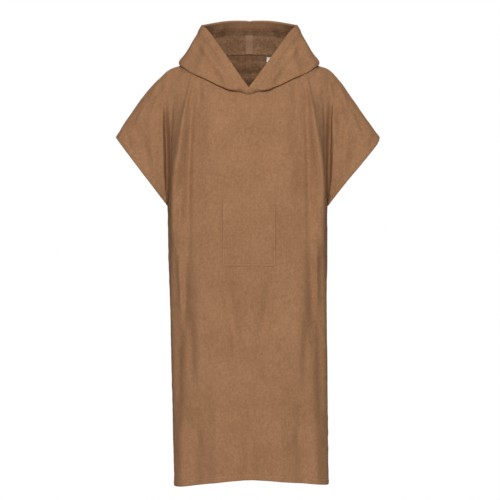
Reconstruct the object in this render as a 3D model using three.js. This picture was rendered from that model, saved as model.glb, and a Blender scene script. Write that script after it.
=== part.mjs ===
// Hooded bath poncho of terry towelling, filled out as it is worn, in millimetres.
// X runs across the garment, Y from front to back and Z up; the origin lies between the shoulders.
import * as THREE from 'three';

// Driving dimensions
const WALL = 2.5;
const SEAM_DRAW = 0.18;
const UNDERARM_Z = -378;
const SLEEVE_TIP = { x: 348, z: -198 };
const SLEEVE_HALF_DEPTH = { body: 50, hem: 44 };
const SHOULDER_SEAM_TURN = 16.3;
const NECK_RING = { halfWidth: 181, front: 88, back: 81 };
const NECK_COLUMNS = 12;
const SHOULDER_COLUMNS = [
  { x: 191, seamTurn: 5 },
  { x: 201, seamTurn: 9 },
  { x: 211, seamTurn: 13 },
  { x: 222, seamTurn: 16.3 },
];
const SLEEVE_COLUMNS = 6;
const UPPER_ROWS = 9;
const LOWER_ROWS = 18;

// Roundness of the chest and of the lobes below it, and how softly shoulder and chest run together
const CHEST_POWER = 2.3;
const LOBE_POWER = 0.86;
const HOOD_POWER = 0.95;
const SOFTNESS = 18;
const CREST_SHARE = 0.6;
const TURN_IN = { share: 0.45, out: 1 };

// Shares of the way down where the neck seam and the shoulder line give way to the body's sections
const NECK_SPREAD = { start: 0.02, end: 0.42 };
const NECK_FADE = { end: 0.22, power: 1.5 };
const FOLD_START = { none: 0.02, full: 0.12 };
const SETTLE_DEPTH = { start: 70, end: 210 };

const POCKET = { left: -67, right: 68.5, top: -363, bottom: -537, openTo: -497 };
const POCKET_CLEARANCE = 0.6;
const POCKET_GAPE = { edge: 9, middle: 4, slack: 1.5 };
const TAPE = { halfWidth: 9, thickness: 1.2, clearance: 0.7, aboveSeam: 1, lastRow: 5 };
const LABEL = { fromX: 48, toX: 80, top: 20, bottom: 7, thickness: 1, clearance: 0.6 };

// Height of the shoulder line and of the top of the sleeve
const SHOULDER_LINE = [
  { x: 0, z: 32 },
  { x: 100, z: 20 },
  { x: 150, z: 5 },
  { x: 182, z: -8 },
  { x: 205, z: -17 },
  { x: 222, z: -29 },
  { x: 242, z: -48 },
  { x: 262, z: -69 },
  { x: 278, z: -90 },
  { x: 300, z: -121 },
  { x: 329, z: -164 },
  { x: 348, z: -198 },
];

// Height of the neck seam round from centre front to centre back
const NECK_SEAM = [
  { angle: 0, z: -89 },
  { angle: 12, z: -81 },
  { angle: 24, z: -65 },
  { angle: 36, z: -48 },
  { angle: 48, z: -34 },
  { angle: 64, z: -22 },
  { angle: 81, z: -13 },
  { angle: 90, z: -8 },
  { angle: 103, z: -1 },
  { angle: 125, z: 10 },
  { angle: 150, z: 19 },
  { angle: 180, z: 23 },
];

// Cross-sections of the body: depth at the centre, half width and depth of the widest place, side seam
const SECTION_COLUMNS = ['z', 'front', 'back', 'frontHalf', 'backHalf', 'frontTurn', 'backTurn', 'seam', 'edge'];
const SECTION_ROWS = [
  [20, 50, 80, 195, 195, 20, 20, 222, 237],
  [-29, 68, 86, 195, 196, 22, 22, 222, 237],
  [-84, 88, 97, 196, 198, 28, 28, 219, 233],
  [-130, 101, 106, 197, 201, 38, 34, 215, 228],
  [-180, 112, 113, 199, 204, 48, 42, 212, 224],
  [-250, 121, 119, 199, 207, 54, 46, 209, 221],
  [-320, 126, 121, 199, 209, 56, 47, 208, 218],
  [-378, 128, 122, 200, 212, 56, 46, 210, 212],
  [-430, 128, 121, 201, 212, 54, 44, 199, 212],
  [-500, 128, 120, 202, 211, 48, 40, 193, 212],
  [-600, 126, 118, 204, 209, 36, 30, 196, 212],
  [-720, 123, 116, 206, 206, 22, 20, 202, 212],
  [-900, 119, 113, 204, 204, 12, 12, 204, 212],
  [-1125, 116, 110, 202, 202, 10, 10, 203, 212],
];
const SECTIONS = SECTION_ROWS.map((row) =>
  Object.fromEntries(row.map((value, i) => [SECTION_COLUMNS[i], value])),
);

// Half width of the chest and back near the neck, above the full sections
const NECK_SECTIONS = [
  { z: 17, half: 150 },
  { z: 7, half: 169 },
  { z: -8, half: 181 },
  { z: -17, half: 186 },
  { z: -32, half: 200 },
  { z: -60, half: 211 },
  { z: -110, half: 215 },
];

// Depth left between the seam and the middle plane in the valley between body and sleeve
const VALLEY = [
  { z: -110, depth: 46 },
  { z: -174, depth: 30 },
  { z: -250, depth: 22 },
  { z: -320, depth: 14 },
  { z: -378, depth: 0 },
];

// How far the hanging cloth swings sideways on its way down
const SWING = [
  { z: 110, shift: 2 },
  { z: 0, shift: 1 },
  { z: -200, shift: -2 },
  { z: -500, shift: -2.5 },
  { z: -820, shift: 2 },
  { z: -1120, shift: 7 },
];

// How far the shoulder and sleeve of the right of the photo hang out or in beyond the left ones
const LEAN = [
  { z: -25, shift: 0 },
  { z: -60, shift: -8 },
  { z: -120, shift: -8 },
  { z: -152, shift: -8 },
  { z: -186, shift: 0 },
  { z: -216, shift: 5 },
  { z: -262, shift: 4 },
  { z: -330, shift: 0 },
];
const LEAN_REACH = { start: 170, full: 300 };

// Height of each hem across the garment
const HEM = [
  { x: -204, front: -1116, back: -1116 },
  { x: -150, front: -1111, back: -1120 },
  { x: -90, front: -1102, back: -1116 },
  { x: 0, front: -1093, back: -1111 },
  { x: 90, front: -1100, back: -1113 },
  { x: 150, front: -1106, back: -1117 },
  { x: 204, front: -1112, back: -1112 },
];

// Soft ridges and troughs of the front: centre line from top to bottom, width and height
const FRONT_FOLDS = [
  { topX: -152, topZ: -45, lowX: -192, lowZ: -410, width: 14, height: 9 },
  { topX: 154, topZ: -50, lowX: 191, lowZ: -410, width: 14, height: 8.5 },
  { topX: -146, topZ: -80, lowX: -146, lowZ: -450, width: 15, height: -8 },
  { topX: 148, topZ: -90, lowX: 148, lowZ: -440, width: 15, height: -7 },
  { topX: -176, topZ: -420, lowX: -160, lowZ: -900, width: 22, height: 6 },
  { topX: 178, topZ: -430, lowX: 166, lowZ: -860, width: 20, height: 6 },
  { topX: -60, topZ: -560, lowX: -18, lowZ: -780, width: 20, height: -7 },
  { topX: 62, topZ: -550, lowX: 26, lowZ: -730, width: 18, height: -6 },
  { topX: -128, topZ: -560, lowX: -120, lowZ: -880, width: 26, height: 6 },
  { topX: 132, topZ: -570, lowX: 126, lowZ: -840, width: 25, height: 5 },
  { topX: -84, topZ: -840, lowX: -82, lowZ: -1180, width: 22, height: 7 },
  { topX: 84, topZ: -880, lowX: 84, lowZ: -1180, width: 24, height: 6 },
  { topX: 0, topZ: -900, lowX: 2, lowZ: -1180, width: 34, height: -6 },
  { topX: -140, topZ: -900, lowX: -146, lowZ: -1180, width: 20, height: -5 },
  { topX: 138, topZ: -860, lowX: 142, lowZ: -1180, width: 20, height: -5 },
];

// Soft ridges and troughs of the back
const BACK_FOLDS = [
  { topX: -148, topZ: -60, lowX: -186, lowZ: -420, width: 17, height: 7 },
  { topX: 150, topZ: -50, lowX: 188, lowZ: -400, width: 16, height: 7 },
  { topX: -118, topZ: -150, lowX: -134, lowZ: -520, width: 20, height: -7 },
  { topX: 122, topZ: -130, lowX: 138, lowZ: -480, width: 19, height: -6 },
  { topX: -70, topZ: -260, lowX: -86, lowZ: -860, width: 27, height: 7 },
  { topX: 76, topZ: -300, lowX: 96, lowZ: -900, width: 26, height: 6 },
  { topX: 2, topZ: -320, lowX: -6, lowZ: -1000, width: 32, height: -7 },
  { topX: -152, topZ: -640, lowX: -148, lowZ: -1180, width: 24, height: 6 },
  { topX: 154, topZ: -600, lowX: 150, lowZ: -1180, width: 23, height: 7 },
  { topX: -108, topZ: -760, lowX: -112, lowZ: -1180, width: 20, height: -7 },
  { topX: 106, topZ: -720, lowX: 114, lowZ: -1180, width: 20, height: -6 },
  { topX: 36, topZ: -820, lowX: 44, lowZ: -1180, width: 25, height: 7 },
  { topX: -44, topZ: -880, lowX: -50, lowZ: -1180, width: 24, height: 6 },
];

// Edge of the hood round the face, from centre front to the corner at the side
const FACE_EDGE = [
  { angle: 0, x: 0, y: -97, z: -76 },
  { angle: 20, x: 24, y: -89, z: -43 },
  { angle: 40, x: 51, y: -73, z: -5 },
  { angle: 60, x: 79, y: -50, z: 35 },
  { angle: 80, x: 106, y: -20, z: 74 },
  { angle: 92, x: 123, y: 2, z: 93 },
  { angle: 103, x: 125, y: 26, z: 98 },
];

// Cross-sections of the hood behind the corners: half width and depth at each height
const HOOD_SECTIONS = [
  { z: 118, half: 120, back: 121 },
  { z: 100, half: 127, back: 123 },
  { z: 88, half: 132, back: 126 },
  { z: 60, half: 142, back: 134 },
  { z: 27, half: 157, back: 148 },
  { z: -8, half: 168, back: 157 },
  { z: -48, half: 168, back: 161 },
  { z: -88, half: 165, back: 155 },
  { z: -110, half: 160, back: 140 },
];

// Rows of the hood from the neck seam to the face opening: share of the way for the plain side, and,
// for the slumped back, height between pouch floor and roll and inset from the outer layer
const HOOD_ROWS = [
  { plain: 0.0, part: 'stand', rise: 0, inset: 1 },
  { plain: 0.05, part: 'stand', rise: 0.3, inset: 1 },
  { plain: 0.1, part: 'stand', rise: 0.62, inset: 1 },
  { plain: 0.15, part: 'stand', rise: 0.88, inset: 1 },
  { plain: 0.2, part: 'roll', rise: 1.02, inset: 0.74 },
  { plain: 0.25, part: 'pouch', rise: 0.955, inset: 0.5 },
  { plain: 0.31, part: 'pouch', rise: 0.82, inset: 0.73 },
  { plain: 0.37, part: 'pouch', rise: 0.58, inset: 0.95 },
  { plain: 0.43, part: 'pouch', rise: 0.3, inset: 1.0 },
  { plain: 0.48, part: 'pouch', rise: 0.08, inset: 0.68 },
  { plain: 0.53, part: 'pouch', rise: 0.0, inset: 0.34 },
  { plain: 0.58, part: 'pouch', rise: 0.08, inset: 0.06 },
  { plain: 0.64, part: 'pouch', rise: 0.32, inset: 0 },
  { plain: 0.71, part: 'pouch', rise: 0.6, inset: 0 },
  { plain: 0.79, part: 'pouch', rise: 0.86, inset: 0 },
  { plain: 0.86, part: 'edge', rise: 0.52, inset: 0 },
  { plain: 0.93, part: 'edge', rise: 0.24, inset: 0 },
  { plain: 1.0, part: 'edge', rise: 0, inset: 0 },
];
const POUCH = { start: 104, full: 165, floorSide: 46, floorBack: -105, gapSide: 12, gapBack: 52 };
const CREST = { side: 60, back: 72, rollGap: 0.9, standGap: 0.86 };
const HOOD_TOP = { corner: 98, back: 116, startAngle: 92, endAngle: 165 };
const HOOD_BLEND = { start: 97, end: 124 };
const HOOD_ROLL = { front: 4, side: 8, reach: 14, startAngle: 20, endAngle: 80 };
const HOOD_BOW = { side: 3, stand: 2 };
const HOOD_CENTRE = 8;
const CORNER_ANGLE = 103;
const CORNER_BLEND = 15;

const radians = THREE.MathUtils.degToRad;
const mix = THREE.MathUtils.lerp;
const ease = THREE.MathUtils.smoothstep;

// A smooth curve through one named column of a table
function through(table, key, column) {
  const rows = [...table].sort((a, b) => a[key] - b[key]);
  const slope = rows.map((row, i) => {
    const before = rows[Math.max(i - 1, 0)];
    const after = rows[Math.min(i + 1, rows.length - 1)];
    return (after[column] - before[column]) / (after[key] - before[key]);
  });
  return (at) => {
    const held = THREE.MathUtils.clamp(at, rows[0][key], rows.at(-1)[key]);
    const i = Math.max(rows.findIndex((row) => row[key] >= held) - 1, 0);
    const span = rows[i + 1][key] - rows[i][key];
    const t = (held - rows[i][key]) / span;
    const turn = 3 * t ** 2 - 2 * t ** 3;
    const start = (1 - turn) * rows[i][column] + (t ** 3 - 2 * t ** 2 + t) * span * slope[i];
    const end = turn * rows[i + 1][column] + (t ** 3 - t ** 2) * span * slope[i + 1];
    return start + end;
  };
}

const shoulderHeight = through(SHOULDER_LINE, 'x', 'z');
const neckSeamHeight = through(NECK_SEAM, 'angle', 'z');
const neckHalf = through(NECK_SECTIONS, 'z', 'half');
const valleyDepth = through(VALLEY, 'z', 'depth');
const swing = through(SWING, 'z', 'shift');
const lean = through(LEAN, 'z', 'shift');
const hem = { front: through(HEM, 'x', 'front'), back: through(HEM, 'x', 'back') };
const section = Object.fromEntries(
  ['front', 'back', 'frontHalf', 'backHalf', 'frontTurn', 'backTurn', 'seam', 'edge'].map((column) => [
    column,
    through(SECTIONS, 'z', column),
  ]),
);

// Sideways place of a point once the garment hangs as it does, not quite alike on both sides
function asWorn(x, z) {
  return x + swing(z) + lean(z) * ease(x, LEAN_REACH.start, LEAN_REACH.full);
}

// The neck seam: a point for each angle from centre front round to centre back
function neckRing(angle) {
  const a = radians(angle);
  const depth = Math.cos(a) > 0 ? NECK_RING.front : NECK_RING.back;
  return new THREE.Vector3(NECK_RING.halfWidth * Math.sin(a), -depth * Math.cos(a), neckSeamHeight(angle));
}

// How far down the height of the shoulder and sleeve a turn of their section lies
const shareDown = (turn) => (1 - Math.cos(radians(turn))) / 2;
const seamShare = shareDown(SHOULDER_SEAM_TURN);

// Distance of the filled-out cloth from the middle plane at a place of the upper body,
// where the rounded chest and the tube of the shoulder and sleeve run softly together
function upperDepth(face, x, z) {
  const half = neckHalf(z);
  const inside = Math.max(1 - (Math.min(x, half) / half) ** CHEST_POWER, 0);
  const chest = section[face](z) * inside ** (1 / CHEST_POWER);
  const drop = THREE.MathUtils.clamp((shoulderHeight(x) - z) / (shoulderHeight(x) - UNDERARM_Z), 0, 1);
  const tube = SLEEVE_HALF_DEPTH.body * Math.sqrt(1 - (1 - 2 * drop) ** 2);
  const crest = 1 - ease(tube, 0, SLEEVE_HALF_DEPTH.body * CREST_SHARE);
  return (chest + tube + Math.hypot(chest - tube, SOFTNESS)) / 2 - (SOFTNESS / 2) * crest;
}

// Height of the soft folds at a place of a panel
function foldHeight(folds, x, z) {
  return folds.reduce((sum, fold) => {
    const way = (fold.topZ - z) / (fold.topZ - fold.lowZ);
    if (way <= 0 || way >= 1) {
      return sum;
    }
    const centre = mix(fold.topX, fold.lowX, way);
    const ends = Math.sin(Math.PI * way ** 0.9);
    return sum + fold.height * ends * Math.exp(-(((x - centre) / fold.width) ** 2));
  }, 0);
}

const columnCount = NECK_COLUMNS + SHOULDER_COLUMNS.length;
const underarm = new THREE.Vector3(section.seam(UNDERARM_Z), 0, UNDERARM_Z);

// Turn of a row above the underarm; the back starts in front of the crest of the shoulder
const underarmRow = { front: UPPER_ROWS, back: UPPER_ROWS + 2 };

function rowTurn(face, row, seamTurn) {
  const frontRow = face === 'front' ? row : row - 2;
  if (frontRow < 0) {
    return (frontRow + 1) * seamTurn;
  }
  return seamTurn + (180 - seamTurn) * Math.min(frontRow / UPPER_ROWS, 1);
}

// One point of a body panel between the centre and the valley or side seam
function bodyPoint(face, sign, column, row) {
  const forward = face === 'front' ? -1 : 1;
  const lower = Math.max(row - underarmRow[face], 0) / LOWER_ROWS;
  const seamTurn = SHOULDER_COLUMNS[column - NECK_COLUMNS - 1]?.seamTurn ?? SHOULDER_SEAM_TURN;
  const turn = rowTurn(face, row, seamTurn);
  const neckSpan = column / NECK_COLUMNS;
  const angle = face === 'front' ? 90 * neckSpan : 180 - 90 * neckSpan;
  const ring = neckRing(angle);
  const onNeck = column <= NECK_COLUMNS;
  const topX = onNeck ? ring.x : SHOULDER_COLUMNS[column - NECK_COLUMNS - 1].x;
  const signedShare = Math.sign(turn) * shareDown(Math.abs(turn));
  const seamSide = face === 'front' ? seamShare : -seamShare;
  const share = (signedShare - seamSide) / (1 - seamSide);
  const shoulderZ = mix(shoulderHeight(topX), UNDERARM_Z, Math.abs(signedShare));
  const hemX = sign * section.seam(-1100) * Math.sin((column / columnCount) * (Math.PI / 2));
  const upperZ = onNeck ? mix(ring.z, UNDERARM_Z, Math.max(share, 0)) : shoulderZ;
  const z = lower > 0 ? mix(UNDERARM_Z, hem[face](hemX), lower) : upperZ;

  // Below the shoulders the section is a rounded lobe that turns in to the seam
  const half = section[`${face}Half`](z);
  const widest = section[`${face}Turn`](z);
  const seamX = section.seam(z);
  const last = columnCount - 2;
  const around = Math.min(column / last, 1) * (Math.PI / 2);
  const valley = z > UNDERARM_Z ? valleyDepth(z) : 0;
  let lowX = half * Math.sin(around) ** LOBE_POWER;
  let lowY = widest + (section[face](z) - widest) * Math.cos(around) ** LOBE_POWER;
  if (column === columnCount - 1) {
    lowX = mix(half, seamX, TURN_IN.share) + TURN_IN.out;
    lowY = mix(widest, valley, TURN_IN.share);
  }
  if (column === columnCount) {
    lowX = seamX;
    lowY = valley;
  }

  // Near the neck and shoulders it follows the neck seam and the shoulder
  const settle = ease(-z, SETTLE_DEPTH.start, SETTLE_DEPTH.end);
  const x = mix(topX, lowX, lower > 0 ? 1 : ease(share, NECK_SPREAD.start, NECK_SPREAD.end));
  let y = mix(upperDepth(face, x, z), lowY, settle);
  if (!onNeck && Math.abs(turn) <= seamTurn) {
    y = SLEEVE_HALF_DEPTH.body * Math.sin(radians(turn));
  }
  if (onNeck) {
    const fade = (1 - ease(share, 0, NECK_FADE.end)) ** NECK_FADE.power;
    y += (forward * ring.y - upperDepth(face, ring.x, ring.z)) * fade * (lower > 0 ? 0 : 1);
  }
  const folds = face === 'front' ? FRONT_FOLDS : BACK_FOLDS;
  const facing = Math.sqrt(Math.cos(around));
  y += foldHeight(folds, sign * x, z) * facing * ease(share, FOLD_START.none, FOLD_START.full);
  return new THREE.Vector3(asWorn(sign * x, z), forward * y, z);
}

// One point of a cap sleeve between the valley and the sleeve hem
function sleevePoint(face, sign, column, row) {
  const forward = face === 'front' ? -1 : 1;
  const turn = rowTurn(face, row, SHOULDER_SEAM_TURN);
  const down = shareDown(Math.abs(turn));
  const across = (column - 1) / (SLEEVE_COLUMNS - 1);
  const edgeTop = shoulderHeight(section.edge(-29));
  const edgeZ = mix(edgeTop, UNDERARM_Z, down);
  const edge = new THREE.Vector3(down < 0.999 ? section.edge(edgeZ) : underarm.x, 0, edgeZ);
  const hemPoint = new THREE.Vector3(SLEEVE_TIP.x, 0, SLEEVE_TIP.z).lerp(underarm, down);
  const point = edge.clone().lerp(hemPoint, across);
  const straight = mix(edgeTop, SLEEVE_TIP.z, across);
  const topX = mix(section.edge(-29), SLEEVE_TIP.x, across);
  point.z += (shoulderHeight(topX) - straight) * (1 - down) ** 2;
  const halfDepth = mix(SLEEVE_HALF_DEPTH.body, SLEEVE_HALF_DEPTH.hem, across);
  const y = forward * halfDepth * Math.sin(radians(turn));
  return new THREE.Vector3(asWorn(sign * point.x, point.z), y, point.z);
}

// A sheet of points with its triangles; each half has its own columns so that the diagonals mirror
function makeSheet() {
  return { points: [], triangles: [], at: new Map() };
}

function addPoint(sheet, key, point) {
  sheet.at.set(key, sheet.points.length);
  sheet.points.push(point);
}

function addQuad(sheet, keys, mirrored) {
  const [a, b, c, d] = keys.map((key) => sheet.at.get(key));
  const [first, second] = mirrored ? [[a, b, d], [b, c, d]] : [[a, b, c], [a, c, d]];
  for (const triangle of [first, second]) {
    const corners = triangle.map((i) => sheet.points[i]);
    const apart = corners.every((corner, i) => corner.distanceTo(corners[(i + 1) % 3]) > 1e-3);
    if (apart) {
      sheet.triangles.push(triangle);
    }
  }
}

function panelSheet(face) {
  const sheet = makeSheet();
  const lastUpper = underarmRow[face];
  const rowCount = lastUpper + LOWER_ROWS;
  const edgeColumn = columnCount + SLEEVE_COLUMNS;
  for (let row = 0; row <= rowCount; row += 1) {
    const reach = row < lastUpper ? edgeColumn : columnCount;
    for (let column = -reach; column <= reach; column += 1) {
      const sign = column < 0 ? -1 : 1;
      const away = Math.abs(column);
      const onBody = away <= columnCount;
      const point = onBody
        ? bodyPoint(face, sign, away, row)
        : sleevePoint(face, sign, away - columnCount, row);
      addPoint(sheet, `${row} ${column}`, point);
    }
  }
  for (let away = columnCount + 1; away <= edgeColumn; away += 1) {
    sheet.at.set(`${lastUpper} ${away}`, sheet.at.get(`${lastUpper} ${columnCount}`));
    sheet.at.set(`${lastUpper} ${-away}`, sheet.at.get(`${lastUpper} ${-columnCount}`));
  }
  for (let row = 0; row < rowCount; row += 1) {
    const reach = row < lastUpper ? edgeColumn : columnCount;
    for (let column = -reach; column < reach; column += 1) {
      const keys = [
        `${row} ${column}`,
        `${row + 1} ${column}`,
        `${row + 1} ${column + 1}`,
        `${row} ${column + 1}`,
      ];
      addQuad(sheet, face === 'front' ? keys : keys.reverse(), column < 0 === (face === 'front'));
    }
  }
  return sheet;
}

// Hood: a point for each station round the neck seam and each row up to the face opening
const faceEdge = Object.fromEntries(['x', 'y', 'z'].map((axis) => [axis, through(FACE_EDGE, 'angle', axis)]));
const hoodHalf = through(HOOD_SECTIONS, 'z', 'half');
const hoodBack = through(HOOD_SECTIONS, 'z', 'back');

function hoodOuter(angle, z, inset) {
  const a = radians(angle);
  const around = new THREE.Vector3(hoodHalf(z) * Math.sin(a) ** HOOD_POWER, 0, z);
  const back = -Math.cos(a);
  around.y = mix(HOOD_CENTRE, hoodBack(z), Math.sign(back) * Math.abs(back) ** HOOD_POWER);
  const normal = new THREE.Vector3(Math.sin(a) / hoodHalf(z), back / hoodBack(z), 0).normalize();
  return around.addScaledVector(normal, -inset);
}

function hoodEdge(angle) {
  const rise = ease(angle, HOOD_TOP.startAngle, HOOD_TOP.endAngle);
  const rim = hoodOuter(angle, mix(HOOD_TOP.corner, HOOD_TOP.back, rise), 0);
  const front = new THREE.Vector3(faceEdge.x(angle), faceEdge.y(angle), faceEdge.z(angle));
  return front.lerp(rim, ease(angle, CORNER_ANGLE - CORNER_BLEND, CORNER_ANGLE));
}

function hoodPoint(angle, row) {
  const { plain, part, rise, inset } = HOOD_ROWS[row];
  const ring = neckRing(angle);
  const edge = hoodEdge(angle);
  const outward = new THREE.Vector3(ring.x / NECK_RING.halfWidth ** 2, ring.y / NECK_RING.front ** 2, 0);
  outward.normalize();
  const side = ring.clone().lerp(edge, plain);
  const away = side.distanceTo(ring) / HOOD_ROLL.reach;
  const round = ease(angle, HOOD_ROLL.startAngle, HOOD_ROLL.endAngle);
  const rollSize = mix(HOOD_ROLL.front, HOOD_ROLL.side, round);
  const roll = rollSize * away * Math.exp(1 - away);
  side.addScaledVector(outward, roll + HOOD_BOW.side * Math.sin(Math.PI * plain));

  const slump = ease(angle, POUCH.start, POUCH.full);
  const floor = mix(POUCH.floorSide, POUCH.floorBack, slump);
  const crest = mix(CREST.side, CREST.back, slump);
  const gap = mix(POUCH.gapSide, POUCH.gapBack, slump);
  let slumped;
  if (part === 'edge') {
    const low = mix(crest, edge.z, 0.15);
    slumped = hoodOuter(angle, mix(edge.z, low, rise), 0);
  } else {
    const behind = gap * inset * (part === 'roll' ? CREST.rollGap : 1);
    slumped = hoodOuter(angle, mix(floor, crest, rise), behind);
  }
  if (part === 'stand') {
    const top = hoodOuter(angle, crest, gap * CREST.standGap);
    slumped = ring.clone().lerp(top, rise);
    slumped.addScaledVector(outward, HOOD_BOW.stand * Math.sin(Math.PI * rise));
    slumped.z = mix(ring.z, crest, rise);
  }
  if (part === 'roll') {
    slumped.z = crest + 2;
  }
  return side.lerp(slumped, ease(angle, HOOD_BLEND.start, HOOD_BLEND.end));
}

// Hood stations stand on the columns of the two body panels
const HOOD_ANGLES = Array.from({ length: 2 * NECK_COLUMNS + 1 }, (_, i) => (90 * i) / NECK_COLUMNS);

function hoodSheet(sign) {
  const sheet = makeSheet();
  HOOD_ANGLES.forEach((angle, station) => {
    HOOD_ROWS.forEach((_, row) => {
      const point = hoodPoint(angle, row);
      point.x = asWorn(sign * point.x, point.z);
      addPoint(sheet, `${row} ${station}`, point);
    });
  });
  for (let station = 0; station < HOOD_ANGLES.length - 1; station += 1) {
    for (let row = 0; row < HOOD_ROWS.length - 1; row += 1) {
      const keys = [
        `${row} ${station}`,
        `${row} ${station + 1}`,
        `${row + 1} ${station + 1}`,
        `${row + 1} ${station}`,
      ];
      addQuad(sheet, sign > 0 ? keys : keys.reverse(), sign < 0);
    }
  }
  return sheet;
}

// Outward direction at each point, shared by sheets that meet
const place = (point) => [point.x, point.y, point.z].map((value) => Math.round(value * 50)).join(' ');

function outwardDirections(sheets) {
  const directions = new Map();
  for (const sheet of sheets) {
    for (const triangle of sheet.triangles) {
      const [a, b, c] = triangle.map((i) => sheet.points[i]);
      const normal = b.clone().sub(a).cross(c.clone().sub(a));
      for (const corner of [a, b, c]) {
        const key = place(corner);
        directions.set(key, (directions.get(key) ?? new THREE.Vector3()).add(normal));
      }
    }
  }
  for (const direction of directions.values()) {
    direction.normalize();
  }
  return directions;
}

// How far the inner skin lies behind the outer one where the body and the hood meet at an angle
function mitre(first, second) {
  const scale = Math.min(1 / (1 + first.dot(second)), 1.1);
  return first.clone().add(second).multiplyScalar(WALL * scale);
}

// Edges that only one triangle of a sheet has, in the direction of that triangle
function borderEdges(triangles) {
  const edges = new Map();
  for (const triangle of triangles) {
    triangle.forEach((from, i) => {
      const to = triangle[(i + 1) % 3];
      edges.set(`${from} ${to}`, [from, to]);
    });
  }
  return [...edges.values()].filter(([from, to]) => !edges.has(`${to} ${from}`));
}

// Outer and inner skins of a sheet, each edge drawn back from its seam by half the gap
function skins(sheet, directions, meeting, away) {
  const drawn = sheet.points.map(() => new THREE.Vector3());
  for (const [from, to] of borderEdges(sheet.triangles)) {
    const start = sheet.points[from];
    const end = sheet.points[to];
    const onMeeting = meeting.has(place(start)) && meeting.has(place(end));
    const along = end.clone().sub(start).normalize();
    const across = directions.get(place(start)).clone().cross(along).normalize();
    for (const corner of [from, to]) {
      const step = onMeeting ? new THREE.Vector3(0, 0, away) : across;
      if (drawn[corner].clone().normalize().dot(step) < 0.7) {
        drawn[corner].add(step);
      }
    }
  }
  const outer = sheet.points.map((point, i) => point.clone().addScaledVector(drawn[i], SEAM_DRAW));
  const inner = outer.map((point, i) => {
    const key = place(sheet.points[i]);
    const own = directions.get(key);
    const other = meeting.get(key);
    return point.clone().sub(other ? mitre(own, other) : own.clone().multiplyScalar(WALL));
  });
  return { outer, inner, triangles: sheet.triangles };
}

// Ranks the ends of a rim edge alike in two pieces that meet there, so that their rims are split alike
const rimRank = (point) => Math.abs(point.x) + 0.4 * point.y + 0.2 * point.z;

// A closed wall of cloth from its outer and inner skins
function clothWall(name, { outer, inner, triangles }, colour) {
  const corners = [];
  for (const triangle of triangles) {
    corners.push(...triangle.map((i) => outer[i]));
    corners.push(...[...triangle].reverse().map((i) => inner[i]));
  }
  for (const [from, to] of borderEdges(triangles)) {
    const lead = rimRank(outer[from]) < rimRank(outer[to]) ? from : to;
    const other = lead === from ? to : from;
    corners.push(outer[to], outer[from], inner[other]);
    corners.push(outer[lead], inner[from], inner[to]);
  }
  const geometry = new THREE.BufferGeometry().setFromPoints(corners);
  geometry.computeVertexNormals();
  const mesh = new THREE.Mesh(geometry, new THREE.MeshStandardMaterial({ color: colour, roughness: 0.95 }));
  mesh.name = name;
  return mesh;
}

// The place of a skin in front of or behind a point of the XZ plane, as a ray along Y finds it
function onSkin(points, triangles, x, z, towardFront) {
  let best = null;
  for (const triangle of triangles) {
    const [a, b, c] = triangle.map((i) => points[i]);
    const area = (b.x - a.x) * (c.z - a.z) - (c.x - a.x) * (b.z - a.z);
    const v = ((x - a.x) * (c.z - a.z) - (c.x - a.x) * (z - a.z)) / area;
    const w = ((b.x - a.x) * (z - a.z) - (x - a.x) * (b.z - a.z)) / area;
    if (v >= -1e-6 && w >= -1e-6 && v + w <= 1 + 1e-6) {
      const y = a.y + v * (b.y - a.y) + w * (c.y - a.y);
      if (best === null || (towardFront ? y < best : y > best)) {
        best = y;
      }
    }
  }
  return best;
}

// A patch of rows and columns laid on a skin: its outer and inner points and its triangles
function layPatch(columns, rows, pointAt) {
  const outer = [];
  const inner = [];
  const triangles = [];
  for (let row = 0; row <= rows; row += 1) {
    for (let column = 0; column <= columns; column += 1) {
      const { near, far } = pointAt(column / columns, row / rows);
      inner.push(near);
      outer.push(far);
    }
  }
  for (let row = 0; row < rows; row += 1) {
    for (let column = 0; column < columns; column += 1) {
      const corner = row * (columns + 1) + column;
      const below = corner + columns + 1;
      triangles.push([corner, below, below + 1], [corner, below + 1, corner + 1]);
    }
  }
  return { outer, inner, triangles };
}

// Patch pocket on the front, its sides standing off a little at the hand openings
function makePocket(front, colour) {
  const patch = layPatch(12, 12, (across, down) => {
    const x = mix(POCKET.left, POCKET.right, across);
    const z = mix(POCKET.top, POCKET.bottom, down);
    const openShare = (POCKET.top - z) / (POCKET.top - POCKET.openTo);
    const hand = openShare < 1 ? Math.sin(Math.PI * openShare) : 0;
    const slack = POCKET_GAPE.slack * Math.sin(Math.PI * down) * Math.sin(Math.PI * across);
    const gape = mix(POCKET_GAPE.middle, POCKET_GAPE.edge, (2 * across - 1) ** 2);
    const stand = POCKET_CLEARANCE + hand * gape + slack;
    const y = onSkin(front.outer, front.triangles, x, z, true);
    return { near: new THREE.Vector3(x, y - stand, z), far: new THREE.Vector3(x, y - stand - WALL, z) };
  });
  return clothWall('pocket', patch, colour);
}

// Plain label hanging from the back neck seam, inside
function makeLabel(back, colour) {
  const patch = layPatch(4, 2, (across, down) => {
    const x = mix(LABEL.fromX, LABEL.toX, across);
    const seamZ = neckSeamHeight(180 - THREE.MathUtils.radToDeg(Math.asin(x / NECK_RING.halfWidth)));
    const z = mix(LABEL.top, LABEL.bottom, down) + seamZ - neckSeamHeight(180);
    const y = onSkin(back.inner, back.triangles, x, z, true) - LABEL.clearance;
    return { near: new THREE.Vector3(x, y, z), far: new THREE.Vector3(x, y - LABEL.thickness, z) };
  });
  return clothWall('neck_label', patch, colour);
}

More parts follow.
